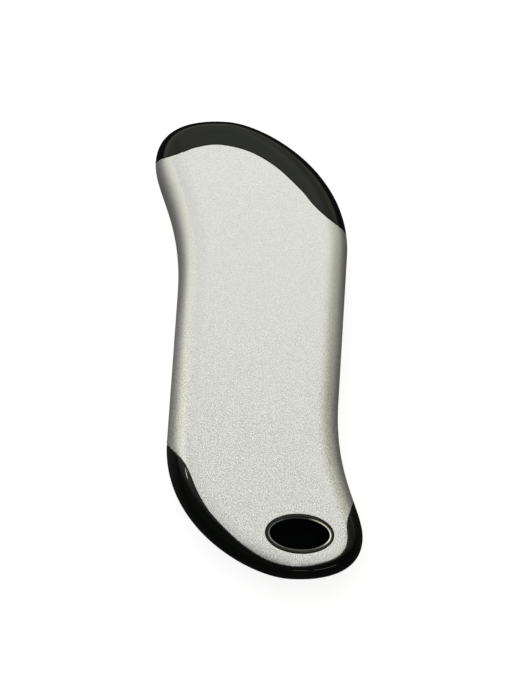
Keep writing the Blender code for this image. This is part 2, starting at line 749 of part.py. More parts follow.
def make_eyelet(black):
    """Oval liner with rolled lips and a collar behind each shell."""
    half_width = EYELET_BORE_WIDTH / 2
    half_height = EYELET_BORE_HEIGHT / 2
    end = EYELET_RECESS
    collar_low = SHELL_WALL + CLEARANCE
    collar_high = collar_low + EYELET_COLLAR_THICKNESS
    outer = [(EYELET_WALL - EYELET_EDGE_ROUND, end), (EYELET_WALL, end + EYELET_EDGE_ROUND),
             (EYELET_WALL, collar_low), (EYELET_COLLAR, collar_low),
             (EYELET_COLLAR, collar_high), (EYELET_WALL, collar_high)]
    inner = [(EYELET_MOUTH_FLARE, -OVERRUN), (EYELET_MOUTH_FLARE, end)]
    for spread_share, depth_share in MOUTH_CURVE_SHARES:
        inner.append((EYELET_MOUTH_FLARE * spread_share, end + EYELET_MOUTH_FLARE * depth_share))

    def full(profile):
        return profile + [(grow, THICKNESS - z) for grow, z in reversed(profile)]

    def rings(profile):
        made = []
        for grow, z in full(profile):
            oval = ellipse(half_width + grow, half_height + grow, EYELET_SIDES)
            made.append([Vector((EYELET_X + u, EYELET_Y + v, z)) for u, v in oval])
        return made

    bm = bmesh.new()
    loft(bm, rings(outer))
    eyelet = make_object("lanyard_eyelet", bm, black)
    bm = bmesh.new()
    loft(bm, rings(inner))
    cut(eyelet, make_object("eyelet_bore_cutter", bm))


def make_cell(name, x, wrap):
    """One round cell with a rolled groove and a raised positive end."""
    shoulder_y = CELL_END_Y - CELL_NUB_HEIGHT
    groove = shoulder_y - CELL_GROOVE_FROM_END
    half_groove = CELL_GROOVE_WIDTH / 2
    nub = CELL_NUB_DIAMETER / 2
    profile = (
        (CELL_RADIUS - CELL_EDGE, -CELL_END_Y), (CELL_RADIUS, -CELL_END_Y + CELL_EDGE),
        (CELL_RADIUS, groove - half_groove), (CELL_RADIUS - CELL_GROOVE_DEPTH, groove),
        (CELL_RADIUS, groove + half_groove), (CELL_RADIUS, shoulder_y - CELL_EDGE),
        (CELL_RADIUS - CELL_EDGE, shoulder_y), (nub, shoulder_y), (nub, CELL_END_Y),
    )
    bm = bmesh.new()
    add_lathe(bm, profile, along_y(x, 0.0, MIDDLE_Z))
    make_object(name, bm, wrap)


def make_strip(name, end, top, nickel):
    """Nickel strip across both cells, with a tab that rises between them."""
    bm = bmesh.new()
    width = 2 * (CELL_X + STRIP_OVERHANG)
    half = STRIP_WIDTH / 2
    tab = STRIP_TAB_WIDTH / 2
    outline = [(-width / 2, -half), (width / 2, -half), (width / 2, half), (tab, half),
               (tab, top), (-tab, top), (-tab, half), (-width / 2, half)]
    low = CELL_END_Y + CLEARANCE
    if end < 0:
        low = -low - STRIP_THICKNESS
    add_prism(bm, outline, low, low + STRIP_THICKNESS, along_y(0.0, 0.0, MIDDLE_Z))
    make_object(name, bm, nickel)


def make_holder(name, end, white):
    """End holder that fits the shells outside and both cells inside."""
    edges = sorted((HOLDER_INNER_Y * end, HOLDER_OUTER_Y * end))
    holder = body_object(name, SHELL_WALL + CLEARANCE, material=white)
    keep(holder, slab(name + "_slab", *edges))
    shares = TOP_SEAM_SHARES if end > 0 else FOOT_SEAM_SHARES
    tongue_room = end_region(name + "_tongue_cutter", shares, -end * (TONGUE_DEPTH + CLEARANCE), end)
    cut(tongue_room, body_object(name + "_tongue_core", CAVITY_INSET + CLEARANCE))
    cut(holder, tongue_room)
    floor = SOCKET_FLOOR_Y * end
    mouth = (HOLDER_INNER_Y - OVERRUN) * end
    low, high = sorted((floor, mouth))
    radius = CELL_RADIUS + CLEARANCE
    for side, x in (("left", -CELL_X), ("right", CELL_X)):
        bm = bmesh.new()
        add_lathe(bm, ((radius, low), (radius, high)), along_y(x, 0.0, MIDDLE_Z), 2 * ROUND_SIDES)
        cut(holder, make_object(name + "_" + side + "_socket_cutter", bm))
    bm = bmesh.new()
    strip_room = 2 * (CELL_X + STRIP_OVERHANG + CLEARANCE)
    room = rounded_rectangle(strip_room, STRIP_WIDTH + 2 * CLEARANCE, 0.0, steps=1)
    add_prism(bm, room, low, high, along_y(0.0, 0.0, MIDDLE_Z))
    strip_cutter = make_object(name + "_strip_cutter", bm)
    bm = bmesh.new()
    low, high = edges[0] - OVERRUN, edges[1] + OVERRUN
    notch_low = STRIP_WIDTH / 2
    notch = box_outline(LEAD_NOTCH_WIDTH, notch_low, THICKNESS)
    add_prism(bm, notch, low, high, along_y(0.0, 0.0, MIDDLE_Z))
    if end > 0:
        hole = ellipse(LEAD_DIAMETER / 2 + CLEARANCE, LEAD_DIAMETER / 2 + CLEARANCE, SMALL_SIDES)
        add_prism(bm, hole, CELL_END_Y, high, along_y(POSITIVE_LEAD_X, 0.0, MIDDLE_Z))
        tail_room = TAIL_WIDTH + 2 * CLEARANCE
        slot_depth = CLEARANCE + FILM_THICKNESS
        face = HALF_THICKNESS - SHELL_WALL - CLEARANCE
        for side in (-1, 1):
            wall = rounded_rectangle(tail_room, 2 * slot_depth, 0.0, steps=1)
            add_prism(bm, wall, low, high, along_y(TAIL_X, 0.0, MIDDLE_Z + side * face))
    cut(holder, strip_cutter, make_object(name + "_lead_cutter", bm))


def tail_path(side):
    """Line of a heater's tail in Y and Z, from the film to its connector."""
    film = film_middle_z(side)
    start = HOLDER_INNER_Y - FILM_END_GAP - OVERRUN
    turn = HOLDER_OUTER_Y + TAIL_BEND / 2
    drop = BOARD_EDGE_Y - TAIL_BEND / 2
    target = connector_z(side)
    toward = math.copysign(TAIL_BEND, target - film)
    return [(start, film), (turn - TAIL_BEND / 2, film), (drop, film + toward),
            (drop, target - toward), (BOARD_EDGE_Y + TAIL_BEND / 2, target)]


def film_middle_z(side):
    """Height of a heater film's middle plane on the front (-1) or rear (1)."""
    return MIDDLE_Z + side * (HALF_THICKNESS - SHELL_WALL - CLEARANCE - FILM_THICKNESS / 2)


def connector_z(side):
    """Height of a tail's connector middle, under or over the board."""
    half = CONNECTOR_HEIGHT / 2
    if side < 0:
        return BOARD_LOW_Z - CLEARANCE - half
    return BOARD_TOP_Z + CLEARANCE + half


def ribbon_outline(path, thickness):
    """Closed outline of a thin ribbon along a path."""
    points = [Vector(point) for point in path]
    upper = shifted_line(points, thickness / 2)
    lower = shifted_line(points, -thickness / 2)
    return [tuple(p) for p in lower + upper[::-1]]


def make_heater(name, side, orange):
    """Flat heater film inside a shell, with a tail through the upper holder."""
    length = 2 * (HOLDER_INNER_Y - FILM_END_GAP)
    middle = film_middle_z(side)
    bm = bmesh.new()
    sheet = rounded_rectangle(FILM_WIDTH, length, FILM_CORNER)
    add_prism(bm, sheet, middle - FILM_THICKNESS / 2, middle + FILM_THICKNESS / 2)
    film = make_object(name, bm, orange)
    bm = bmesh.new()
    ribbon = ribbon_outline(tail_path(side), FILM_THICKNESS)
    add_prism(bm, ribbon, -TAIL_WIDTH / 2, TAIL_WIDTH / 2, along_x(TAIL_X, 0.0, 0.0))
    join(film, make_object(name + "_tail", bm))


def make_pad(name, side, grey):
    """Foam pad between a heater film and the cells."""
    film = film_middle_z(side) - side * (FILM_THICKNESS / 2 + CLEARANCE)
    cells = MIDDLE_Z + side * (CELL_RADIUS + CLEARANCE)
    length = 2 * (HOLDER_INNER_Y - PAD_END_GAP)
    bm = bmesh.new()
    add_prism(bm, rounded_rectangle(PAD_WIDTH, length, PAD_CORNER), *sorted((film, cells)))
    make_object(name, bm, grey)


def make_board(green):
    """Circuit board that follows the lobe, with clear holes for its screws."""
    ring = [(p.x, p.y) for p in body_ring(BOARD_INSET, BOARD_LOW_Z)]
    bm = bmesh.new()
    add_prism(bm, ring, BOARD_LOW_Z, BOARD_TOP_Z)
    board = make_object("main_board", bm, green)
    keep(board, slab("board_slab", BOARD_EDGE_Y, BODY_LENGTH))
    bm = bmesh.new()
    places = shell_post_places() + cap_post_places()
    add_screw_bores(bm, places, BOARD_LOW_Z - OVERRUN, BOARD_TOP_Z + OVERRUN)
    cut(board, make_object("board_hole_cutter", bm))


def make_screws(name, places, steel):
    """Pan head screws with their heads just over the board's level."""
    seat = BOARD_TOP_Z + CLEARANCE
    head = SCREW_HEAD / 2
    top = seat + SCREW_HEAD_HEIGHT
    profile = ((SCREW_SHANK / 2, screw_tip_z()), (SCREW_SHANK / 2, seat), (head, seat),
               (head, top - SCREW_HEAD_DOME), (head - SCREW_HEAD_DOME, top))
    radius = SCREW_SOCKET / 2
    socket = ((radius, top - SCREW_SOCKET_DEPTH), (radius, top + OVERRUN))
    for number, spot in enumerate(places, start=1):
        own = name + "_" + str(number)
        bm = bmesh.new()
        add_lathe(bm, profile, place(spot.x, spot.y), SMALL_SIDES)
        screw = make_object(own, bm, steel)
        bm = bmesh.new()
        add_lathe(bm, socket, place(spot.x, spot.y), SOCKET_SIDES)
        cut(screw, make_object(own + "_socket_cutter", bm))


def make_socket(name, frame, width, height, depth, wall, corner, steel):
    """Sheet metal shell of a socket, open at its mouth."""
    bm = bmesh.new()
    add_prism(bm, rounded_rectangle(width, height, corner), 0.0, depth, frame)
    shell = make_object(name, bm, steel)
    bm = bmesh.new()
    inner = rounded_rectangle(width - 2 * wall, height - 2 * wall, corner - wall)
    add_prism(bm, inner, -OVERRUN, depth - wall, frame)
    cut(shell, make_object(name + "_mouth_cutter", bm))


def make_tongue(name, frame, block, tongue, depth, wall, block_depth, setback, black):
    """Insulator of a socket: a block at the back with a tongue towards the mouth."""
    back = depth - wall - CLEARANCE
    bm = bmesh.new()
    add_prism(bm, rounded_rectangle(*block, 0.0, steps=1), back - block_depth, back, frame)
    body = make_object(name, bm, black)
    bm = bmesh.new()
    add_prism(bm, rounded_rectangle(*tongue, 0.0, steps=1), setback, back - block_depth / 2, frame)
    join(body, make_object(name + "_blade", bm))


def make_sockets(steel, white, black):
    """Output socket and charging socket on the board's top edge."""
    frame = port_frame(usb_x(), USB_HEIGHT)
    make_socket("usb_output_shell", frame, USB_WIDTH, USB_HEIGHT, USB_DEPTH,
                USB_WALL, USB_CORNER, steel)
    inside = 2 * (USB_WALL + CLEARANCE)
    make_tongue("usb_output_tongue", frame, (USB_WIDTH - inside, USB_HEIGHT - inside),
                (USB_WIDTH - 2 * USB_TONGUE_SIDE_GAP, USB_TONGUE_THICKNESS), USB_DEPTH, USB_WALL,
                USB_BLOCK_DEPTH, USB_TONGUE_SETBACK, white)
    frame = port_frame(micro_x(), MICRO_HEIGHT)
    make_socket("micro_usb_shell", frame, MICRO_WIDTH, MICRO_HEIGHT, MICRO_DEPTH,
                MICRO_WALL, MICRO_CORNER, steel)
    inside = 2 * (MICRO_WALL + CLEARANCE)
    make_tongue("micro_usb_tongue", frame, (MICRO_WIDTH - inside, MICRO_HEIGHT - inside),
                (MICRO_WIDTH - 2 * MICRO_TONGUE_SIDE_GAP, MICRO_TONGUE_THICKNESS), MICRO_DEPTH, MICRO_WALL,
                MICRO_BLOCK_DEPTH, MICRO_TONGUE_SETBACK, black)


def button_depths():
    """Depths below the wall of the button's flange, stem end, plunger and switch."""
    flange = CAVITY_INSET + WALL_BOW + CLEARANCE
    stem = flange + FLANGE_THICKNESS + STEM_LENGTH
    plunger = stem + CLEARANCE
    switch = plunger + BUTTON_TRAVEL + CLEARANCE / 2
    return flange, stem, plunger, switch


def make_button(black, white, dark):
    """Power button with a keeping flange, the plunger it pushes, and the switch body."""
    flange, stem, plunger, switch = button_depths()
    local = place()
    bm = bmesh.new()
    slot = rounded_rectangle(BUTTON_WIDTH, BUTTON_HEIGHT, BUTTON_HEIGHT / 2, steps=6)
    crown = rounded_rectangle(BUTTON_WIDTH - 2 * BUTTON_EDGE, BUTTON_HEIGHT - 2 * BUTTON_EDGE,
                              BUTTON_HEIGHT / 2 - BUTTON_EDGE, steps=6)
    rim = rounded_rectangle(BUTTON_WIDTH + 2 * FLANGE_RIM, BUTTON_HEIGHT + 2 * FLANGE_RIM,
                            BUTTON_HEIGHT / 2 + FLANGE_RIM, steps=6)
    levels = ((crown, BUTTON_SUNK), (slot, BUTTON_SUNK + BUTTON_EDGE), (slot, flange),
              (rim, flange), (rim, flange + FLANGE_THICKNESS))
    loft(bm, [[Vector((u, v, w)) for u, v in outline] for outline, w in levels])
    button = make_object("power_button", bm, black)
    bm = bmesh.new()
    stem_profile = ((STEM_DIAMETER / 2, flange + FLANGE_THICKNESS / 2), (STEM_DIAMETER / 2, stem))
    add_lathe(bm, stem_profile, local, SMALL_SIDES)
    stub = make_object("button_stem", bm)
    join(button, stub)
    bm = bmesh.new()
    radius = PLUNGER_DIAMETER / 2
    add_lathe(bm, ((radius, plunger), (radius, plunger + PLUNGER_LENGTH)), local, SMALL_SIDES)
    pin = make_object("switch_plunger", bm, white)
    bm = bmesh.new()
    low = BOARD_TOP_Z + CLEARANCE - MIDDLE_Z
    high = PLUNGER_DIAMETER / 2 + SWITCH_ABOVE_PLUNGER
    add_prism(bm, box_outline(SWITCH_WIDTH, low, high), switch, switch + SWITCH_DEPTH, local)
    body = make_object("switch_body", bm, dark)
    bm = bmesh.new()
    bore = radius + CLEARANCE
    depth = plunger + PLUNGER_LENGTH + BUTTON_TRAVEL + CLEARANCE
    add_lathe(bm, ((bore, switch - OVERRUN), (bore, depth)), local, SMALL_SIDES)
    socket = make_object("switch_bore_cutter", bm)
    cut(body, socket)
    for piece in (button, stub, pin, body, socket):
        piece.matrix_world = button_frame()


def make_lights(clear, amber):
    """Light pipe with a row of lenses in the wall, and the emitters under it."""
    frame = light_frame()
    bar_start = CAVITY_INSET + WALL_BOW + CLEARANCE
    bar_width = (LIGHT_COUNT - 1) * LIGHT_PITCH + 2 * PIPE_BAR_END
    low = BOARD_TOP_Z + LED_HEIGHT + 2 * CLEARANCE - MIDDLE_Z
    bar = box_outline(bar_width, low, PIPE_BAR_END)
    bm = bmesh.new()
    add_prism(bm, bar, bar_start, bar_start + PIPE_BAR_THICKNESS, frame)
    pipe = make_object("status_light_pipe", bm, clear)
    pins = bmesh.new()
    led_w = bar_start + PIPE_BAR_THICKNESS / 2
    led_v = BOARD_TOP_Z + CLEARANCE - MIDDLE_Z
    square = box_outline(LED_SIZE, 0.0, LED_HEIGHT)
    for number, u in enumerate(light_places(), start=1):
        lens = ellipse(LENS_DIAMETER / 2, LENS_DIAMETER / 2, SMALL_SIDES)
        add_prism(pins, lens, LENS_SUNK, bar_start + PIPE_BAR_THICKNESS / 2, frame @ place(u))
        bm = bmesh.new()
        add_prism(bm, square, led_w - LED_SIZE / 2, led_w + LED_SIZE / 2, frame @ place(u, led_v))
        make_object("status_led_" + str(number), bm, amber)
    join(pipe, make_object("light_pipe_pins", pins))


def usb_x():
    """Place across of the output socket, next to the corner screw."""
    return cap_post_places()[0].x + SCREW_HEAD / 2 + USB_SCREW_GAP + USB_WIDTH / 2


def micro_x():
    """Place across of the charging socket, next to the output socket."""
    return usb_x() + USB_WIDTH / 2 + PORT_GAP + MICRO_WIDTH / 2


def make_board_part(name, spot, size, material, corner=0.0, under=False):
    """One component on the board's upper side or under it."""
    x, from_edge = spot
    width, length, height = size
    low = BOARD_LOW_Z - CLEARANCE - height if under else BOARD_TOP_Z + CLEARANCE
    bm = bmesh.new()
    outline = rounded_rectangle(width, length, corner, steps=3 if corner else 1)
    add_prism(bm, outline, low, low + height, place(x, BOARD_EDGE_Y + from_edge))
    make_object(name, bm, material)


def make_board_parts(dark, ceramic, ferrite):
    """Chips, capacitors, the inductor and the heater connectors."""
    chip = (CHIP_SIDE, CHIP_SIDE, CHIP_HEIGHT)
    make_board_part("control_chip_1", (HALF_GRIP * TOP_CHIP_X_SHARE, TOP_CHIP_FROM_EDGE), chip, dark)
    for number, share in enumerate(UNDER_CHIP_X_SHARES, start=2):
        spot = (HALF_GRIP * share, UNDER_CHIP_FROM_EDGE)
        make_board_part("control_chip_" + str(number), spot, chip, dark, under=True)
    capacitor = (CAPACITOR_WIDTH, CAPACITOR_LENGTH, CAPACITOR_HEIGHT)
    for number in (1, 2):
        spot = (HALF_GRIP * CAPACITOR_X_SHARE, CAPACITOR_FROM_EDGE + (number - 1) * CAPACITOR_SPACING)
        make_board_part("board_capacitor_" + str(number), spot, capacitor, ceramic)
    inductor = (INDUCTOR_SIDE, INDUCTOR_SIDE, INDUCTOR_HEIGHT)
    inductor_x = usb_x() + USB_WIDTH / 2 + INDUCTOR_USB_GAP + INDUCTOR_SIDE / 2
    make_board_part("power_inductor", (inductor_x, INDUCTOR_FROM_EDGE), inductor, ferrite, INDUCTOR_CORNER)
    start = BOARD_EDGE_Y + TAIL_BEND / 2 + CLEARANCE
    half = CONNECTOR_WIDTH / 2
    outline = [(TAIL_X - half, start), (TAIL_X + half, start),
               (TAIL_X + half, start + CONNECTOR_DEPTH), (TAIL_X - half, start + CONNECTOR_DEPTH)]
    for name, side in (("front_heater_connector", -1), ("rear_heater_connector", 1)):
        bm = bmesh.new()
        middle = connector_z(side)
        add_prism(bm, outline, middle - CONNECTOR_HEIGHT / 2, middle + CONNECTOR_HEIGHT / 2)
        make_object(name, bm, ceramic)


def make_lead(name, route, colour):
    """Round lead along a smooth line through its route's points."""
    line = smooth_line([Vector(point) for point in route], LEAD_STEPS)
    curve = bpy.data.curves.new(name, "CURVE")
    curve.dimensions = "3D"
    curve.bevel_depth = LEAD_DIAMETER / 2
    curve.bevel_resolution = LEAD_ROUNDING
    curve.use_fill_caps = True
    spline = curve.splines.new("POLY")
    spline.points.add(len(line) - 1)
    for target, point in zip(spline.points, line):
        target.co = (*point, 1.0)
    curve.materials.append(colour)
    made = bpy.data.objects.new(name, curve)
    bpy.context.scene.collection.objects.link(made)


def lead_level():
    """Height of the leads in the valley between the cells."""
    return MIDDLE_Z + CELL_RADIUS - LEAD_DIAMETER - CLEARANCE


def make_leads(red, dark_lead, yellow, bead_finish):
    """Battery leads, and the thermistor with its lead in the valley between the cells."""
    valley = lead_level()
    pad_y = BOARD_EDGE_Y + LEAD_PAD_FROM_EDGE
    pad_z = BOARD_TOP_Z + CLEARANCE
    bend = LEAD_DIAMETER

    def down_to(x, pad_x):
        past = HOLDER_OUTER_Y
        halfway = ((x + pad_x) / 2, pad_y - bend / 2, (valley + pad_z) / 2 + bend)
        return [(x, past - bend, valley), (x, past + bend / 2, valley - bend / 2), halfway,
                (pad_x, pad_y, pad_z + 2 * bend), (pad_x, pad_y, pad_z)]

    left = -LEAD_SPREAD
    right = LEAD_SPREAD
    quarter = CELL_END_Y / 2
    along = [(left, share * quarter, valley) for share in LEAD_STATION_SHARES]
    make_lead("negative_lead", along + down_to(left, NEGATIVE_PAD_X), dark_lead)
    bead_end = THERMISTOR_Y + THERMISTOR_LENGTH / 2 + CLEARANCE
    along = [(right, bead_end, valley), (right, quarter, valley)]
    make_lead("thermistor_lead", along + down_to(right, NEGATIVE_PAD_X + LEAD_PAD_SPACING), yellow)
    start = CELL_END_Y + 2 * CLEARANCE + STRIP_THICKNESS
    pad_x = NEGATIVE_PAD_X + 2 * LEAD_PAD_SPACING
    route = [(POSITIVE_LEAD_X, start, MIDDLE_Z), (POSITIVE_LEAD_X, HOLDER_OUTER_Y + bend / 2, MIDDLE_Z),
             (pad_x, pad_y - bend / 3, (MIDDLE_Z + pad_z) / 2 + bend / 2), (pad_x, pad_y, pad_z)]
    make_lead("positive_lead", route, red)
    radius = THERMISTOR_DIAMETER / 2
    half = THERMISTOR_LENGTH / 2
    profile = ((radius / 2, -half), (radius, -half / 2), (radius, half / 2), (radius / 2, half))
    bead_z = MIDDLE_Z + CELL_RADIUS - radius
    bm = bmesh.new()
    add_lathe(bm, profile, along_y(LEAD_SPREAD, THERMISTOR_Y, bead_z), SMALL_SIDES)
    make_object("thermistor", bm, bead_finish)


def build():
    """Make every piece of the hand warmer."""
    clear_scene()
    silver = finish("satin_silver", (0.62, 0.62, 0.59), 0.38, 0.9)
    black = finish("gloss_black", (0.008, 0.009, 0.008), 0.08)
    dark = finish("moulded_black", (0.02, 0.02, 0.02), 0.5)
    white = finish("moulded_white", (0.75, 0.75, 0.72), 0.5)
    clear = finish("clear_lens", (0.85, 0.88, 0.9), 0.1, 0.0, 0.4)
    amber = finish("emitter_body", (0.8, 0.72, 0.45), 0.4)
    wrap = finish("cell_wrap", (0.05, 0.18, 0.42), 0.3)
    nickel = finish("nickel", (0.6, 0.58, 0.54), 0.3, 1.0)
    steel = finish("bright_steel", (0.62, 0.62, 0.63), 0.25, 1.0)
    orange = finish("heater_film", (0.55, 0.25, 0.06), 0.35)
    foam = finish("grey_foam", (0.25, 0.25, 0.26), 0.9)
    green = finish("board_green", (0.02, 0.16, 0.07), 0.4)
    ceramic = finish("ceramic_tan", (0.5, 0.42, 0.32), 0.5)
    ferrite = finish("ferrite", (0.06, 0.06, 0.065), 0.6)
    red = finish("lead_red", (0.5, 0.02, 0.02), 0.45)
    dark_lead = finish("lead_black", (0.02, 0.02, 0.02), 0.45)
    yellow = finish("lead_yellow", (0.7, 0.5, 0.05), 0.45)

    make_shells(silver)
    make_top_cap(black)
    make_bottom_cap(black)
    make_eyelet(black)
    make_cell("left_cell", -CELL_X, wrap)
    make_cell("right_cell", CELL_X, wrap)
    lead_middle = lead_level() - MIDDLE_Z
    make_strip("positive_strip", 1, lead_middle - LEAD_DIAMETER / 2 - CLEARANCE, nickel)
    make_strip("negative_strip", -1, lead_middle + LEAD_DIAMETER / 2, nickel)
    make_holder("upper_cell_holder", 1, white)
    make_holder("lower_cell_holder", -1, white)
    make_heater("front_heater_film", -1, orange)
    make_heater("rear_heater_film", 1, orange)
    make_pad("front_foam_pad", -1, foam)
    make_pad("rear_foam_pad", 1, foam)
    make_board(green)
    make_screws("board_screw", shell_post_places() + cap_post_places(), steel)
    make_screws("cap_screw", [screw for _, screw in lug_lines()], steel)
    make_sockets(steel, white, dark)
    make_button(black, white, dark)
    make_lights(clear, amber)
    make_board_parts(dark, ceramic, ferrite)
    make_leads(red, dark_lead, yellow, dark)


build()
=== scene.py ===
"""Looks of a rechargeable hand warmer that lies on its front face, rear face up.

The housing's skin, the lanyard eye, the button, the lights and the two sockets are modelled
here from the same outline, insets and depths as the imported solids, with fine facets and soft
edges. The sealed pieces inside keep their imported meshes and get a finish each.
"""
from __future__ import annotations

import json
import logging
import math
from dataclasses import dataclass
from enum import Enum
from typing import Callable, Iterable, Sequence

import bmesh
import bpy
from mathutils import Matrix, Vector
from mathutils.bvhtree import BVHTree

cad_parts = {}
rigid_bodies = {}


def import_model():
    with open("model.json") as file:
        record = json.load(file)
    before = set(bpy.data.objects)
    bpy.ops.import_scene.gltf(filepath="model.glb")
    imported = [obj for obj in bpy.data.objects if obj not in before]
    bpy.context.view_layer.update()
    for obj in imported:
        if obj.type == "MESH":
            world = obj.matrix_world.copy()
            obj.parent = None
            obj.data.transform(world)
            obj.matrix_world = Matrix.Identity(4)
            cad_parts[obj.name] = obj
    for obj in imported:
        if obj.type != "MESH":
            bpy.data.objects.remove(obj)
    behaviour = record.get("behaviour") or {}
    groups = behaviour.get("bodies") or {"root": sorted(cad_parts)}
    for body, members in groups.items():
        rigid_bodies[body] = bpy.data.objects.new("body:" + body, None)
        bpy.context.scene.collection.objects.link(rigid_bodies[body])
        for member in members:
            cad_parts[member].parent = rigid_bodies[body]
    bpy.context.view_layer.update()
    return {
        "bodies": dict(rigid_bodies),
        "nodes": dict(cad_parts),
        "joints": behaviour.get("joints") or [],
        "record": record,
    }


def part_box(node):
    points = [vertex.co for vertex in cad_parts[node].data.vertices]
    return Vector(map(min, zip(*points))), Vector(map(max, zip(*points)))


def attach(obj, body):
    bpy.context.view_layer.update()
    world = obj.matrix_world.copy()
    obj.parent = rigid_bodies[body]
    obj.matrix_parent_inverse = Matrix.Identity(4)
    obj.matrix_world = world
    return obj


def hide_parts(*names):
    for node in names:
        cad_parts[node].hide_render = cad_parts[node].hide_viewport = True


LOG = logging.getLogger("hand_warmer")
MM = 0.001
OVERRUN = 2.0 * MM
TOUCHING = 0.001 * MM
SLIVER_SHARE = 0.1
SHARP_DEGREES = 40.0
SHADED_SHARP_DEGREES = 38.0
NOISE_MEAN = 0.5
Colour = tuple[float, float, float]
Place = tuple[float, float, float]
Pair = tuple[float, float]
Ring = list[Vector]
Station = tuple[Vector, Vector]
Values = dict[str, object]


class End(Enum):
    """The two ends of the body, as seen with the rear face up."""

    TOP = 1
    FOOT = -1


class Step(Enum):
    """What an exact Boolean does with its tool."""

    KEEP = "INTERSECT"
    TAKE = "DIFFERENCE"
    JOIN = "UNION"


class Socket:
    """A shader socket that takes part in Python sums, adding a Math node for each."""

    def __init__(self, graph: Graph, output: bpy.types.NodeSocket | None) -> None:
        """Wrap one output of a graph's node."""
        self.graph = graph
        self.output = output

    def _sum(self, operation: str, first: Socket | float, second: Socket | float) -> Socket:
        """Output of a Math node with the given operation and terms."""
        return self.graph.add("ShaderNodeMath", {"operation": operation}, {0: first, 1: second})

    def __add__(self, other: Socket | float) -> Socket:
        """Sum of both."""
        return self._sum("ADD", self, other)

    __radd__ = __add__

    def __sub__(self, other: Socket | float) -> Socket:
        """This less the other."""
        return self._sum("SUBTRACT", self, other)

    def __rsub__(self, other: float) -> Socket:
        """The other less this."""
        return self._sum("SUBTRACT", other, self)

    def __mul__(self, other: Socket | float) -> Socket:
        """Product of both."""
        return self._sum("MULTIPLY", self, other)

    __rmul__ = __mul__

    def __truediv__(self, other: Socket | float) -> Socket:
        """This over the other."""
        return self._sum("DIVIDE", self, other)

    def __pow__(self, other: Socket | float) -> Socket:
        """This to the power of the other."""
        return self._sum("POWER", self, other)

    def __rpow__(self, other: float) -> Socket:
        """The other to the power of this."""
        return self._sum("POWER", other, self)

    def __gt__(self, other: Socket | float) -> Socket:
        """1 where this is more than the other."""
        return self._sum("GREATER_THAN", self, other)

    def __lt__(self, other: Socket | float) -> Socket:
        """1 where this is less than the other."""
        return self._sum("LESS_THAN", self, other)

    def __abs__(self) -> Socket:
        """Distance from zero."""
        return self._sum("ABSOLUTE", self, 0.0)

    def wave(self, pitch: float) -> Socket:
        """Triangle wave from 0 to 1 over one pitch."""
        return self._sum("PINGPONG", self / (pitch / 2), 1.0)

    def least(self, other: Socket | float) -> Socket:
        """The smaller of both."""
        return self._sum("MINIMUM", self, other)

    def most(self, other: Socket | float) -> Socket:
        """The greater of both."""
        return self._sum("MAXIMUM", self, other)

    def clamped(self) -> Socket:
        """This kept between 0 and 1."""
        return self.most(0.0).least(1.0)

    def eased(self, low: float, high: float) -> Socket:
        """Smooth rise from 0 at the low value to 1 at the high one."""
        share = ((self - low) / (high - low)).clamped()
        return share * share * (3.0 - share * 2.0)


class Graph:
    """The nodes of one material or of the world."""

    def __init__(self, tree: bpy.types.NodeTree) -> None:
        """Empty a tree to fill it."""
        self.tree = tree
        tree.nodes.clear()

    def add(self, kind: str, settings: dict | None = None, values: dict | None = None,
            output: int | str = 0) -> Socket:
        """Add any node.

        Args:
            kind: The node's type.
            settings: Its properties, set first.
            values: A number, colour or Socket for each input, by name or place.
            output: The output to return.

        Returns:
            The chosen output.
        """
        node = self.tree.nodes.new(kind)
        for key, value in (settings or {}).items():
            setattr(node, key, value)
        for key, value in (values or {}).items():
            if isinstance(value, Socket):
                self.tree.links.new(value.output, node.inputs[key])
            else:
                node.inputs[key].default_value = value
        return Socket(self, node.outputs[output] if len(node.outputs) else None)

    def place(self) -> Socket:
        """Object coordinates, in metres."""
        return self.add("ShaderNodeTexCoord", output="Object")

    def ray(self, kind: str) -> Socket:
        """1 for rays of a kind, as Light Path names it."""
        return self.add("ShaderNodeLightPath", output=kind)

    def axes(self, vector: Socket) -> tuple[Socket, Socket, Socket]:
        """Split a vector into its three numbers."""
        outputs = self.add("ShaderNodeSeparateXYZ", values={0: vector}).output.node.outputs
        return Socket(self, outputs[0]), Socket(self, outputs[1]), Socket(self, outputs[2])

    def noise(self, place: Socket, grain: float, detail: float = 2.0) -> Socket:
        """Noise about its mean with grains of a size in metres, in octaves."""
        return self.add("ShaderNodeTexNoise", {"noise_dimensions": "3D"},
                        {"Vector": place, "Scale": 1.0 / grain, "Detail": detail})

    def cells(self, place: Socket, size: float) -> Socket:
        """Distance from the middle of Voronoi cells of a size in metres."""
        return self.add("ShaderNodeTexVoronoi", {}, {"Vector": place, "Scale": 1.0 / size})

    def blend(self, share: Socket | float, first: Colour | Socket, second: Colour | Socket) -> Socket:
        """Mix of two colours with a share of the second."""
        ends = [end if isinstance(end, Socket) else (*end, 1.0) for end in (first, second)]
        return self.add("ShaderNodeMix", {"data_type": "RGBA"}, {0: share, 6: ends[0], 7: ends[1]}, 2)

    def relief(self, height: Socket, depth: float, strength: float = 1.0) -> Socket:
        """Normal of a surface with a relief whose 0 and 1 lie a depth apart."""
        return self.add("ShaderNodeBump", {}, {"Strength": strength, "Distance": depth, "Height": height})


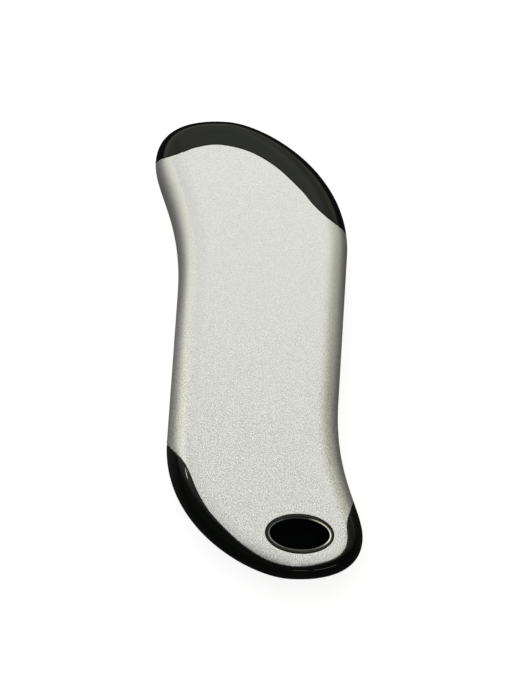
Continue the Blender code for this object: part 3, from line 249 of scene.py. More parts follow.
@dataclass(frozen=True)
class Finish:
    """A finish: a name, the record's slot and a main colour."""

    name: str
    slot: str
    colour: Colour

    def shade(self, share: float) -> Colour:
        """The main colour times a share, each part at most 1."""
        return tuple(min(part * share, 1.0) for part in self.colour)

    def describe(self, graph: Graph) -> Values:
        """Values and sockets of the shader's inputs by name; each finish gives its own."""
        raise NotImplementedError

    def material(self) -> bpy.types.Material:
        """The finish's material, made once."""
        made = bpy.data.materials.get(self.name)
        if made is None:
            made = bpy.data.materials.new(self.name)
            made.use_nodes = True
            graph = Graph(made.node_tree)
            shader = graph.add("ShaderNodeBsdfPrincipled", {}, self.describe(graph))
            graph.add("ShaderNodeOutputMaterial", {}, {"Surface": shader})
        return made


@dataclass(frozen=True)
class SatinMetallic(Finish):
    """Sprayed metallic paint with fine flakes; towards the foot the flakes grow coarser and stronger in
    colour, a painted sparkle of lit flakes.
    """

    fine_flake: float = 0.15 * MM
    coarse_flake: float = 0.26 * MM
    cloud_size: float = 9.0 * MM
    flake_depth: float = 0.012 * MM
    coarse_from: float = 20.0 * MM
    coarse_reach: float = 60.0 * MM
    fine_loss: float = 0.4
    coarse_share: float = 0.35
    coarse_gain: float = 2.8
    tone_gain: float = 1.6
    flake_contrast: float = 0.30
    metallic: float = 0.87
    roughness: float = 0.44
    flake_roughness: float = 0.12
    cloud_roughness: float = 0.03

    def describe(self, graph: Graph) -> Values:
        """Flakes tint the paint, change its gloss and lift it slightly."""
        place = graph.place()
        _, along, _ = graph.axes(place)
        foot = ((self.coarse_from - along) / self.coarse_reach).clamped()
        fine = graph.noise(place, self.fine_flake, 1.0) - NOISE_MEAN
        coarse = graph.noise(place, self.coarse_flake) - NOISE_MEAN
        cloud = graph.noise(place, self.cloud_size, 3.0) - NOISE_MEAN
        # Towards the foot the coarse flakes gain share and contrast: painted sparkle, as if the flakes there
        # caught more light.
        flakes = fine * (1.0 - foot * self.fine_loss) + coarse * (foot * self.coarse_gain + self.coarse_share)
        tone = (flakes * self.tone_gain + NOISE_MEAN).clamped()
        dark, light = self.shade(1.0 - self.flake_contrast), self.shade(1.0 + self.flake_contrast)
        return {
            "Base Color": graph.blend(tone, dark, light),
            "Metallic": self.metallic,
            "Roughness": flakes * self.flake_roughness + cloud * self.cloud_roughness + self.roughness,
            "Normal": graph.relief(flakes, self.flake_depth),
        }


@dataclass(frozen=True)
class GlossPlastic(Finish):
    """Polished moulded plastic with faint handling haze and dust."""

    roughness: float = 0.055
    specular: float = 0.29
    sheen_tint: Colour = (0.98, 1.0, 0.86)
    haze: float = 0.05
    haze_size: float = 6.0 * MM
    haze_colour: float = 1.7
    haze_swing: float = 0.6
    haze_least: float = 0.2
    dust_pitch: float = 1.1 * MM
    dust_size: float = 0.035
    dust_roughness: float = 0.25
    ripple_size: float = 3.5 * MM
    ripple_depth: float = 0.004 * MM
    ripple_strength: float = 0.6

    def describe(self, graph: Graph) -> Values:
        """Haze and dust lift the roughness in patches, and a long ripple bends reflections."""
        place = graph.place()
        haze = graph.noise(place, self.haze_size, 4.0)
        dust = (graph.cells(place, self.dust_pitch) < self.dust_size) * self.dust_roughness
        ripple = graph.noise(place, self.ripple_size, 1.0)
        tone = (haze * self.haze_swing + self.haze_least).clamped()
        return {
            "Base Color": graph.blend(tone, self.colour, self.shade(self.haze_colour)),
            "Roughness": haze * haze * self.haze + dust + self.roughness,
            "Specular IOR Level": self.specular,
            "Specular Tint": (*self.sheen_tint, 1.0),
            "Normal": graph.relief(ripple, self.ripple_depth, self.ripple_strength),
        }


@dataclass(frozen=True)
class LinerPlastic(GlossPlastic):
    """The lanyard eye's plastic, with a painted highlight on the chamfer round the bore.

    The chamfer is painted pale as a highlight, paler at the oval's ends, and a cream painted glint lies on
    one side.
    """

    centre: Pair = (0.0, 0.0)
    bore_half: Pair = (1.0, 1.0)
    bore_edge: float = 1.003
    # Painted highlight: the pale lip band, the paler ends and the cream glint on one side, broken up by
    # noise.
    lip_highlight_width: float = 0.31 * MM
    lip_highlight_colour: Colour = (0.058, 0.062, 0.06)
    end_highlight_colour: Colour = (0.25, 0.26, 0.25)
    end_highlight_reach: Pair = (0.4, 0.95)
    glint_width: float = 0.08 * MM
    glint_colour: Colour = (0.86, 0.80, 0.65)
    glint_direction: Pair = (0.95, 0.30)
    glint_reach: Pair = (0.5, 0.88)
    glint_break_size: float = 0.8 * MM
    glint_break_least: float = 0.6
    glint_break_swing: float = 0.6
    glint_gain: float = 0.3

    def shares(self, across: Socket, along: Socket, grow: Socket | float = 0.0) -> tuple[Socket, Socket]:
        """Distances from the bore's middle, as shares of the bore's half sizes grown by a width."""
        return ((across - self.centre[0]) / (self.bore_half[0] + grow),
                (along - self.centre[1]) / (self.bore_half[1] + grow))

    def describe(self, graph: Graph) -> Values:
        """A painted highlight band, as wide as the chamfer, follows the bore's oval."""
        values = super().describe(graph)
        across, along, _ = graph.axes(graph.place())
        wide, high = self.shares(across, along)
        outside = (wide * wide + high * high) ** 0.5 > self.bore_edge
        # Share of the cream painted glint, greatest on one side of the oval.
        side = (wide * self.glint_direction[0] + high * self.glint_direction[1]).eased(*self.glint_reach)
        grown_wide, grown_high = self.shares(across, along, side * self.glint_width + self.lip_highlight_width)
        highlight_band = ((grown_wide * grown_wide + grown_high * grown_high) ** 0.5 < 1.0) * outside
        # Noise that breaks up the painted highlight.
        glint_break = graph.noise(graph.place(), self.glint_break_size, 3.0) * self.glint_break_swing + self.glint_break_least
        lip_highlight = graph.blend(abs(wide).eased(*self.end_highlight_reach), self.lip_highlight_colour, self.end_highlight_colour)
        lip_highlight = graph.blend((side * glint_break).clamped(), lip_highlight, self.glint_colour)
        share = (highlight_band * (glint_break + side * self.glint_gain)).clamped()
        values["Base Color"] = graph.blend(share, self.colour, lip_highlight)
        return values


@dataclass(frozen=True)
class Grained(Finish):
    """A surface with a grain, and clouds that change its colour slowly."""

    roughness: float = 0.5
    grain: float = 0.25 * MM
    grain_detail: float = 2.0
    stretch: float = 1.0
    cloud: float = 5.0 * MM
    cloud_detail: float = 2.0
    grain_tone: float = 0.0
    darkest: float = 0.75
    grain_roughness: float = 0.12
    cloud_roughness: float = 0.0
    depth: float = 0.01 * MM

    def pattern(self, graph: Graph, place: Socket) -> Socket:
        """The grain as noise, drawn out along the piece."""
        drawn = graph.add("ShaderNodeMapping", {}, {"Vector": place, "Scale": (1.0, 1.0 / self.stretch, 1.0)})
        return graph.noise(drawn, self.grain, self.grain_detail)

    def constants(self) -> Values:
        """Inputs that are the same all over."""
        return {}

    def describe(self, graph: Graph) -> Values:
        """Grain and clouds darken the colour, change the gloss and give a relief."""
        place = graph.place()
        grain = self.pattern(graph, place)
        cloud = graph.noise(place, self.cloud, self.cloud_detail)
        tone = (cloud * (1.0 - self.grain_tone) + grain * self.grain_tone).clamped()
        swing = (grain - NOISE_MEAN) * self.grain_roughness
        swing = swing + (cloud - NOISE_MEAN) * self.cloud_roughness
        return {
            "Base Color": graph.blend(tone, self.shade(self.darkest), self.colour),
            "Roughness": swing + self.roughness,
            "Normal": graph.relief(grain, self.depth),
            **self.constants(),
        }


@dataclass(frozen=True)
class MouldedPlastic(Grained):
    """Matt moulded plastic with a fine spark-eroded grain."""

    roughness: float = 0.555
    grain_detail: float = 3.0
    grain_tone: float = 0.3
    darkest: float = 0.82
    grain_roughness: float = 0.15


@dataclass(frozen=True)
class SheetMetal(Grained):
    """Plated or rolled sheet with lines along the rolling direction."""

    grain: float = 0.12 * MM
    stretch: float = 14.0
    cloud: float = 2.5 * MM
    cloud_detail: float = 3.0
    grain_tone: float = 0.5
    darkest: float = 0.78
    grain_roughness: float = 0.16
    cloud_roughness: float = 0.08
    depth: float = 0.004 * MM

    def constants(self) -> Values:
        """Bare metal."""
        return {"Metallic": 1.0}


@dataclass(frozen=True)
class ShrinkWrap(Grained):
    """Heat-shrunk sleeve with faint creases along the cell."""

    roughness: float = 0.29
    grain: float = 0.5 * MM
    stretch: float = 25.0
    cloud: float = 7.0 * MM
    darkest: float = 0.7
    grain_roughness: float = 0.1
    depth: float = 0.02 * MM
    coat: float = 0.25

    def constants(self) -> Values:
        """A clear skin over the print."""
        return {"Coat Weight": self.coat}


@dataclass(frozen=True)
class LeadSheath(Grained):
    """Soft sheath of a lead, with a faint orange peel."""

    roughness: float = 0.44
    grain: float = 0.3 * MM
    cloud: float = 2.0 * MM
    depth: float = 0.012 * MM


@dataclass(frozen=True)
class ClearMoulding(Grained):
    """Frosted clear plastic that guides light, milky in its depth."""

    roughness: float = 0.19
    grain: float = 0.12 * MM
    cloud: float = 0.8 * MM
    darkest: float = 0.86
    grain_roughness: float = 0.14
    depth: float = 0.006 * MM
    clearness: float = 0.45
    refraction: float = 1.49

    def constants(self) -> Values:
        """What lets light through."""
        return {"Transmission Weight": self.clearness, "IOR": self.refraction}


@dataclass(frozen=True)
class Sintered(Grained):
    """Ceramic or ferrite with fine pores, painted darker where they sink, as shade."""

    grain: float = 0.22 * MM
    pore_gain: float = 2.0
    cloud: float = 0.9 * MM
    cloud_detail: float = 3.0
    grain_tone: float = 0.6
    darkest: float = 0.7
    grain_roughness: float = 0.0
    cloud_roughness: float = 0.1
    depth: float = 0.02 * MM

    def pattern(self, graph: Graph, place: Socket) -> Socket:
        """Pores that are sunk in their middle and painted dark there as shade."""
        return (graph.cells(place, self.grain) * self.pore_gain).clamped()


@dataclass(frozen=True)
class OpenFoam(Sintered):
    """Open-cell foam, whose deep cells are painted dark in their middle as shade."""

    roughness: float = 0.92
    grain: float = 0.45 * MM
    pore_gain: float = 1.6
    cloud: float = 0.15 * MM
    cloud_detail: float = 2.0
    grain_tone: float = 0.8
    darkest: float = 0.35
    cloud_roughness: float = 0.0
    depth: float = 0.12 * MM


@dataclass(frozen=True)
class EtchedFilm(Finish):
    """Amber film with an etched heating track that runs to and fro."""

    track_pitch: float = 2.4 * MM
    track_gap: float = 0.42
    turn_from: float = 11.5 * MM
    track_colour: Colour = (0.42, 0.17, 0.03)
    track_cover: float = 0.85
    track_metallic: float = 0.6
    track_depth: float = 0.03 * MM
    roughness: float = 0.26
    stain_size: float = 3.0 * MM
    stain_roughness: float = 0.12

    def describe(self, graph: Graph) -> Values:
        """The track is darker, metallic and stands slightly proud."""
        place = graph.place()
        across, along, _ = graph.axes(place)
        turn = (along + self.track_pitch / 2).wave(2 * self.track_pitch) > 0.5
        runs = along.wave(self.track_pitch) > self.track_gap
        track = (runs + (abs(across) > self.turn_from) * turn).clamped()
        stain = graph.noise(place, self.stain_size, 3.0)
        return {
            "Base Color": graph.blend(track * self.track_cover, self.colour, self.track_colour),
            "Metallic": track * self.track_metallic,
            "Roughness": stain * self.stain_roughness + self.roughness,
            "Normal": graph.relief(track, self.track_depth),
        }


@dataclass(frozen=True)
class SolderMask(Finish):
    """Circuit board: solder mask over tracks, with small tinned pads."""

    track_pitch: float = 1.3 * MM
    track_gap: float = 0.62
    track_light: float = 1.9
    track_cover: float = 0.8
    block_size: float = 6.0 * MM
    pad_pitch: float = 2.6 * MM
    pad_size: float = 0.13
    pad_colour: Colour = (0.72, 0.70, 0.64)
    roughness: float = 0.34
    pad_polish: float = 0.06
    depth: float = 0.03 * MM

    def describe(self, graph: Graph) -> Values:
        """Tracks show lighter through the mask, and pads are bare metal."""
        place = graph.place()
        across, along, _ = graph.axes(place)
        blocks = graph.noise(place, self.block_size, 0.0) > 0.5
        lines = (across.wave(self.track_pitch) > self.track_gap) * blocks
        rows = (along.wave(self.track_pitch) > self.track_gap) * (1.0 - blocks)
        track = (lines + rows).clamped()
        pads = graph.cells(place, self.pad_pitch) < self.pad_size
        mask = graph.blend(track * self.track_cover, self.colour, self.shade(self.track_light))
        return {
            "Base Color": graph.blend(pads, mask, self.pad_colour),
            "Metallic": pads,
            "Roughness": self.roughness - pads * self.pad_polish,
            "Normal": graph.relief(track + pads, self.depth),
        }


@dataclass(frozen=True)
class EmitterBody(Finish):
    """Small light emitter: a cream body with yellow patches of phosphor."""

    window: Colour = (0.86, 0.66, 0.14)
    window_from: float = 0.52
    window_cover: float = 0.8
    patch: float = 0.4 * MM
    patch_depth: float = 0.01 * MM
    roughness: float = 0.25
    patch_roughness: float = 0.2

    def describe(self, graph: Graph) -> Values:
        """Patches are yellow, rougher and slightly proud."""
        patch = graph.noise(graph.place(), self.patch)
        yellow = (patch > self.window_from) * self.window_cover
        return {
            "Base Color": graph.blend(yellow, self.colour, self.window),
            "Roughness": patch * self.patch_roughness + self.roughness,
            "Normal": graph.relief(patch, self.patch_depth),
        }


SILVER = SatinMetallic("satin_silver_paint", "satin_silver", (0.77, 0.766, 0.735))
BLACK = GlossPlastic("polished_black", "gloss_black", (0.0022, 0.0027, 0.0023))
DARK = MouldedPlastic("matt_black_moulding", "moulded_black", (0.022, 0.022, 0.022))
WHITE = MouldedPlastic("white_moulding", "moulded_white", (0.76, 0.76, 0.72))
CLEAR = ClearMoulding("light_guide", "clear_lens", (0.82, 0.84, 0.84))
AMBER = EmitterBody("emitter", "emitter_body", (0.78, 0.74, 0.62))
WRAP = ShrinkWrap("blue_sleeve", "cell_wrap", (0.04, 0.17, 0.42))
NICKEL = SheetMetal("nickel_strip", "nickel", (0.62, 0.60, 0.55), 0.3)
STEEL = SheetMetal("bright_steel_sheet", "bright_steel", (0.66, 0.66, 0.67), 0.24)
GOLD = SheetMetal("gilt_contact", "nickel", (0.83, 0.60, 0.26), 0.26)
FILM = EtchedFilm("amber_film", "heater_film", (0.55, 0.25, 0.06))
FOAM = OpenFoam("grey_open_foam", "grey_foam", (0.26, 0.26, 0.27))
BOARD = SolderMask("green_solder_mask", "board_green", (0.015, 0.13, 0.055))
CERAMIC = Sintered("tan_ceramic", "ceramic_tan", (0.52, 0.43, 0.32), 0.5)
FERRITE = Sintered("dark_ferrite", "ferrite", (0.06, 0.06, 0.066), 0.62)
RED = LeadSheath("red_sheath", "lead_red", (0.5, 0.02, 0.02))
LEAD_BLACK = LeadSheath("black_sheath", "lead_black", (0.018, 0.018, 0.018))
YELLOW = LeadSheath("yellow_sheath", "lead_yellow", (0.7, 0.5, 0.05))

PACKED_FINISHES: dict[str, Finish] = {
    **dict.fromkeys(("switch_plunger", "upper_cell_holder", "lower_cell_holder"), WHITE),
    **dict.fromkeys(("switch_body", "thermistor", *(f"control_chip_{n}" for n in range(1, 4))), DARK),
    **dict.fromkeys((f"status_led_{n}" for n in range(1, 5)), AMBER),
    **dict.fromkeys((*(f"board_screw_{n}" for n in range(1, 5)), "cap_screw_1", "cap_screw_2"), STEEL),
    **dict.fromkeys(("board_capacitor_1", "board_capacitor_2"), CERAMIC),
    **dict.fromkeys(("front_heater_connector", "rear_heater_connector"), CERAMIC),
    **dict.fromkeys(("left_cell", "right_cell"), WRAP),
    **dict.fromkeys(("positive_strip", "negative_strip"), NICKEL),
    **dict.fromkeys(("front_heater_film", "rear_heater_film"), FILM),
    **dict.fromkeys(("front_foam_pad", "rear_foam_pad"), FOAM),
    "main_board": BOARD,
    "power_inductor": FERRITE,
    "positive_lead": RED,
    "negative_lead": LEAD_BLACK,
    "thermistor_lead": YELLOW,
}


class Solid:
    """A closed shape under construction, made with bmesh operators."""

    def __init__(self, bm: bmesh.types.BMesh | None = None) -> None:
        """Start empty or go on with a mesh."""
        self.bm = bm if bm is not None else bmesh.new()

    def _outwards(self, present: set) -> None:
        """Turn the faces that aren't in the given set outwards.

        Args:
            present: Faces to leave alone.
        """
        faces = [face for face in self.bm.faces if face not in present]
        bmesh.ops.recalc_face_normals(self.bm, faces=faces)
        middle = sum((face.calc_center_median() for face in faces), Vector()) / len(faces)
        volume = sum(face.calc_area() * face.normal.dot(face.calc_center_median() - middle) for face in faces)
        if volume < 0:
            bmesh.ops.reverse_faces(self.bm, faces=faces)

    def loft(self, rings: Sequence[Ring], hoop: bool = False) -> Solid:
        """Extrude a ring through others of the same count.

        Args:
            rings: The rings in order.
            hoop: Whether the last joins the first; otherwise both ends are closed.

        Returns:
            This solid.
        """
        present = set(self.bm.faces)
        verts = [self.bm.verts.new(point) for point in rings[0]]
        start = verts
        if hoop:
            edges = [self.bm.edges.new(pair) for pair in zip(verts, verts[1:] + verts[:1])]
        else:
            edges = list(self.bm.faces.new(verts).edges)
        for ring in rings[1:] + (rings[:1] if hoop else []):
            grown = bmesh.ops.extrude_edge_only(self.bm, edges=edges)["geom"]
            fresh = {item for item in grown if isinstance(item, bmesh.types.BMVert)}
            twins = []
            for vert, point in zip(verts, ring):
                others = (edge.other_vert(vert) for edge in vert.link_edges)
                twin = next(other for other in others if other in fresh)
                twin.co = point
                twins.append(twin)
            lines = [item for item in grown if isinstance(item, bmesh.types.BMEdge)]
            edges = [edge for edge in lines if fresh.issuperset(edge.verts)]
            verts = twins
        if hoop:
            bmesh.ops.remove_doubles(self.bm, verts=start + verts, dist=TOUCHING)
        else:
            self.bm.faces.new(verts)
        self._outwards(present)
        return self

    def prism(self, outline: Sequence[Pair], low: float, high: float, frame: Matrix | None = None) -> Solid:
        """Extrude a flat outline.

        Args:
            outline: Points in the frame's first two directions.
            low: Start along the third.
            high: End along the third.
            frame: The frame, or the world's own.

        Returns:
            This solid.
        """
        frame = frame or Matrix.Identity(4)
        present = set(self.bm.faces)
        verts = [self.bm.verts.new(frame @ Vector((u, v, low))) for u, v in outline]
        grown = bmesh.ops.extrude_face_region(self.bm, geom=[self.bm.faces.new(verts)])
        moved = [item for item in grown["geom"] if isinstance(item, bmesh.types.BMVert)]
        bmesh.ops.translate(self.bm, verts=moved, vec=frame.to_3x3() @ Vector((0, 0, high - low)))
        self._outwards(present)
        return self

    def turn(self, profile: Sequence[Pair], frame: Matrix, sides: int) -> Solid:
        """Spin a profile that starts and ends on the frame's third axis.

        Args:
            profile: Radius and height of each point.
            frame: The frame.
            sides: Steps of the full turn.

        Returns:
            This solid.
        """
        present = set(self.bm.faces)
        verts = [self.bm.verts.new(frame @ Vector((radius, 0, height))) for radius, height in profile]
        edges = [self.bm.edges.new(pair) for pair in zip(verts, verts[1:])]
        bmesh.ops.spin(self.bm, geom=verts + edges, cent=frame.translation, axis=frame.col[2].to_3d(),
                       angle=2 * math.pi, steps=sides, use_merge=True)
        fresh = list({vert for face in self.bm.faces if face not in present for vert in face.verts})
        bmesh.ops.remove_doubles(self.bm, verts=fresh, dist=TOUCHING)
        self._outwards(present)
        return self

    def to_object(self, name: str) -> bpy.types.Object:
        """Make an object of the solid, which is then used up.

        Args:
            name: The object's name.

        Returns:
            The object, linked to the scene.
        """
        mesh = bpy.data.meshes.new(name)
        self.bm.to_mesh(mesh)
        self.bm.free()
        made = bpy.data.objects.new(name, mesh)
        bpy.context.scene.collection.objects.link(made)
        return made

    def carve(self, *steps: tuple[Step, Solid]) -> Solid:
        """Apply exact Booleans in order; the tools are used up.

        Args:
            *steps: What to do, and the tool.

        Returns:
            This solid, carved.
        """
        target = self.to_object("work")
        tools = []
        for step, tool in steps:
            held = tool.to_object("tool")
            modifier = target.modifiers.new(step.name.lower(), "BOOLEAN")
            modifier.operation = step.value
            modifier.object = held
            modifier.solver = "EXACT"
            tools.append(held)
        view = bpy.context.evaluated_depsgraph_get()
        mesh = bpy.data.meshes.new_from_object(target.evaluated_get(view))
        self.bm = bmesh.new()
        self.bm.from_mesh(mesh)
        for item in (target, *tools):
            shape = item.data
            bpy.data.objects.remove(item, do_unlink=True)
            bpy.data.meshes.remove(shape)
        bpy.data.meshes.remove(mesh)
        return self

    def soften(self, width: float, segments: int, chosen: Callable[[bmesh.types.BMEdge], bool],
               weld: float = 0.0) -> Solid:
        """Round chosen edges.

        Args:
            width: Width of the rounding.
            segments: Its facets.
            chosen: Says whether an edge is rounded.
            weld: Distance under which the chosen edges' points are first merged.

        Returns:
            This solid.
        """
        if weld:
            near = {vert for edge in self.bm.edges if chosen(edge) for vert in edge.verts}
            ring = near | {edge.other_vert(vert) for vert in near for edge in vert.link_edges}
            bmesh.ops.remove_doubles(self.bm, verts=list(ring), dist=weld)
            bmesh.ops.dissolve_degenerate(self.bm, edges=self.bm.edges[:], dist=weld * SLIVER_SHARE)
        edges = [edge for edge in self.bm.edges if chosen(edge)]
        bmesh.ops.bevel(self.bm, geom=edges, affect="EDGES", offset=width, offset_type="OFFSET",
                        segments=segments, profile=0.5, material=-1, clamp_overlap=False)
        return self

    def publish(self, name: str, finish: Finish, body: str, *nodes: str) -> None:
        """Make a finished piece of the solid, which is then used up.

        Args:
            name: The piece's name.
            finish: Its finish.
            body: The body that it rides on.
            *nodes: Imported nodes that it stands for.
        """
        piece = self.to_object(name)
        mesh = piece.data
        mesh.shade_smooth()
        mesh.set_sharp_from_angle(angle=math.radians(SHADED_SHARP_DEGREES))
        mesh.materials.append(finish.material())
        piece.modifiers.new("even_shading", "WEIGHTED_NORMAL").keep_sharp = True
        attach(piece, body)
        if nodes:
            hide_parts(*nodes)
        LOG.info("%s: %d faces, finish %s, rides on %s", name, len(mesh.polygons), finish.name, body)


def is_sharp(edge: bmesh.types.BMEdge) -> bool:
    """Whether two faces meet at a clear angle at an edge."""
    return len(edge.link_faces) == 2 and edge.calc_face_angle(0.0) > math.radians(SHARP_DEGREES)


def quarter_turn(step: int, steps: int) -> float:
    """Angle after a step of a quarter turn that is divided into steps."""
    return math.pi / 2 * step / steps


def rounded_rectangle(width: float, height: float, radius: float, steps: int = 6) -> list[Pair]:
    """Points of a rectangle with round corners.

    Args:
        width: Full width.
        height: Full height.
        radius: Corner radius; half the height makes a slot.
        steps: Facets of a corner.

    Returns:
        The points, counter-clockwise.
    """
    radius = min(radius, width / 2, height / 2)
    closest = radius / 100
    points: list[Pair] = []
    for side_u, side_v, quarter in ((1, 1, 0), (-1, 1, 1), (-1, -1, 2), (1, -1, 3)):
        for step in range(steps + 1):
            angle = math.pi / 2 * (quarter + step / steps)
            spot = (side_u * (width / 2 - radius) + radius * math.cos(angle),
                    side_v * (height / 2 - radius) + radius * math.sin(angle))
            if not points or math.dist(points[-1], spot) > closest:
                points.append(spot)
    if math.dist(points[0], points[-1]) <= closest:
        points.pop()
    return points


def inward_frame(point: Vector, normal: Vector, z: float) -> Matrix:
    """Frame on a wall: along the wall, up, and into the body.

    Args:
        point: Place on the wall, in plan.
        normal: Outward normal, in plan.
        z: Height.

    Returns:
        The frame.
    """
    frame = Matrix.Identity(4)
    frame.col[0] = (normal.y, -normal.x, 0, 0)
    frame.col[1] = (0, 0, 1, 0)
    frame.col[2] = (-normal.x, -normal.y, 0, 0)
    frame.col[3] = (point.x, point.y, z, 1)
    return frame


@dataclass
class Form:
    """The body's outline and rounding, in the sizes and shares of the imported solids."""

    half_grip: float = 22.0 * MM
    half_length: float = 59.0 * MM
    end_length: float = 26.5 * MM
    thickness: float = 25.0 * MM
    shoulder_start: Pair = (1.0, 1.250)
    waist_start: Pair = (-1.0, 1.727)
    crest: Pair = (-0.541, 0.0)
    lobe_widest: Pair = (-1.3785, 0.427)
    shoulder_handle: float = 0.822
    waist_handle: float = 0.734
    lobe_upper_handle: float = 0.411
    lobe_lower_handle: float = 0.279
    crest_outer_handle: float = 0.485
    crest_inner_handle: float = 0.181
    side_round: float = 7.5 * MM
    crest_round: float = 4.0 * MM
    foot_round: float = 6.0 * MM
    foot_slope: float = 3.0 * MM
    power: float = 2.5
    least_share: float = 0.15
    fine_steps: tuple[int, int, int, int] = (10, 48, 34, 40)
    plain_steps: tuple[int, int, int, int] = (3, 18, 12, 14)
    fine_levels: int = 12
    plain_levels: int = 4
    least_level: float = 0.05 * MM
    face_margin: float = 0.25 * MM

    def __post_init__(self) -> None:
        """Work out the spans and both sets of stations."""
        self.middle_z = self.thickness / 2
        self.spans = self._spans()
        self.fine = self._stations(self.fine_steps)
        self.plain = self._stations(self.plain_steps)

    def end_place(self, shares: Pair, end: End = End.TOP) -> Vector:
        """Place in plan, from shares of the half grip across and of the end length from the end."""
        across, down = shares
        return Vector((self.half_grip * across, (self.half_length - self.end_length * down) * end.value))

    def _spans(self) -> dict[str, tuple[Vector, Vector, Vector, Vector]]:
        """The straight side and the three curved spans of the upper half."""
        waist = self.end_place(self.waist_start)
        high = self.end_place(self.shoulder_start)
        crest = self.end_place(self.crest)
        lobe = self.end_place(self.lobe_widest)
        third = (high + waist) / 3
        up = Vector((0, self.end_length))
        out = Vector((self.half_grip, 0))
        return {
            "straight": (-waist, third - waist, high - third, high),
            "shoulder": (high, high + up * self.shoulder_handle,
                         crest + out * self.crest_outer_handle, crest),
            "corner": (crest, crest - out * self.crest_inner_handle,
                       lobe + up * self.lobe_upper_handle, lobe),
            "flank": (lobe, lobe - up * self.lobe_lower_handle, waist + up * self.waist_handle, waist),
        }

    def wall(self, span: str, share: float, turned: bool = False) -> Station:
        """Point and outward normal on the outline.

        Args:
            span: The span's name.
            share: Share of its run.
            turned: Whether it is on the lower half.

        Returns:
            The point and the normal.
        """
        a, b, c, d = self.spans[span]
        rest = 1 - share
        point = a * rest ** 3 + b * (3 * rest ** 2 * share) + c * (3 * rest * share ** 2) + d * share ** 3
        slope = ((b - a) * rest ** 2 + (c - b) * (2 * rest * share) + (d - c) * share ** 2).normalized()
        normal = Vector((slope.y, -slope.x))
        return (-point, -normal) if turned else (point, normal)

    def shoulder_frame(self, share: float) -> Matrix:
        """Frame on the shoulder's wall at a share of its run, half way up."""
        return inward_frame(*self.wall("shoulder", share), self.middle_z)

    def _stations(self, steps: tuple[int, int, int, int]) -> list[Station]:
        """Stations round the outline, with the given steps for each span."""
        return [self.wall(span, step / count, turned)
                for turned in (False, True)
                for span, count in zip(self.spans, steps)
                for step in range(count)]

    def ring(self, inset: float, z: float, stations: list[Station], margin: float = 0.0) -> Ring:
        """The outline at one height, drawn in by an inset on all faces.

        Args:
            inset: The inset.
            z: The height.
            stations: Stations to use.
            margin: Further distance inwards.

        Returns:
            The ring.
        """
        height = min(1.0, abs(z - self.middle_z) / (self.middle_z - inset))
        drawn_in = 1 - (1 - height ** self.power) ** (1 / self.power)
        ring = []
        for point, normal in stations:
            end = self.crest_round if normal.y > 0 else self.foot_round
            depth = end + (self.side_round - end) * normal.x ** 2
            depth += self.foot_slope * min(normal.x, 0.0) * min(normal.y, 0.0)
            depth = max(depth - inset, depth * self.least_share)
            spot = point - normal * (inset + depth * drawn_in + margin)
            ring.append(Vector((spot.x, spot.y, z)))
        return ring

    def body(self, inset: float = 0.0, low: float = 0.0, high: float = math.inf, fine: bool = False) -> Solid:
        """The body between two heights.

        Args:
            inset: Inset on all faces.
            low: Lowest height.
            high: Greatest height.
            fine: Whether it has fine facets and a margin round each flat face.

        Returns:
            The solid.
        """
        stations = self.fine if fine else self.plain
        count = self.fine_levels if fine else self.plain_levels
        half = self.middle_z - inset
        low = max(low, self.middle_z - half)
        high = min(high, self.middle_z + half)
        levels = [low]
        for step in range(-count, count + 1):
            angle = quarter_turn(step, count)
            z = self.middle_z + half * math.copysign(abs(math.sin(angle)) ** (2 / self.power), angle)
            if low + self.least_level < z < high - self.least_level:
                levels.append(z)
        levels.append(high)
        rings = [self.ring(inset, z, stations) for z in levels]
        if fine and low <= 0.0:
            rings.insert(0, self.ring(inset, low, stations, self.face_margin))
        if fine and high >= self.thickness:
            rings.append(self.ring(inset, high, stations, self.face_margin))
        return Solid().loft(rings)


@dataclass
class Seam:
    """A parting line between a cap and the shells."""

    form: Form
    end: End
    shares: Sequence[Pair]
    steps: int = 8
    far: float = 2.0

    def line(self, shift: float) -> list[Vector]:
        """The line, a smooth curve through its places, moved towards the body's end.

        Args:
            shift: Distance of the move.

        Returns:
            Points from left to right.
        """
        places = [self.form.end_place(pair, self.end) for pair in self.shares]
        padded = [places[0] * 2 - places[1], *places, places[-1] * 2 - places[-2]]
        line = []
        for p0, p1, p2, p3 in zip(padded, padded[1:], padded[2:], padded[3:]):
            for step in range(self.steps):
                t = step / self.steps
                line.append((p1 * 2 + (p2 - p0) * t + (p0 * 2 - p1 * 5 + p2 * 4 - p3) * t ** 2
                             + (p1 * 3 - p0 - p2 * 3 + p3) * t ** 3) / 2)
        line.append(places[-1])
        moved = []
        for index, point in enumerate(line):
            run = (line[min(index + 1, len(line) - 1)] - line[max(index - 1, 0)]).normalized()
            moved.append(point + Vector((-run.y, run.x)) * shift * self.end.value)
        return moved

    def region(self, shift: float = 0.0) -> Solid:
        """Everything past the line, towards the body's end.

        Args:
            shift: Distance that the line is moved that way.

        Returns:
            The solid.
        """
        line = self.line(shift)
        far_x = self.form.half_grip * self.far
        far_y = self.form.half_length * self.far * self.end.value
        outline = [(-far_x, line[0].y), *[(p.x, p.y) for p in line], (far_x, line[-1].y),
                   (far_x, far_y), (-far_x, far_y)]
        return Solid().prism(outline, -OVERRUN, self.form.thickness + OVERRUN)


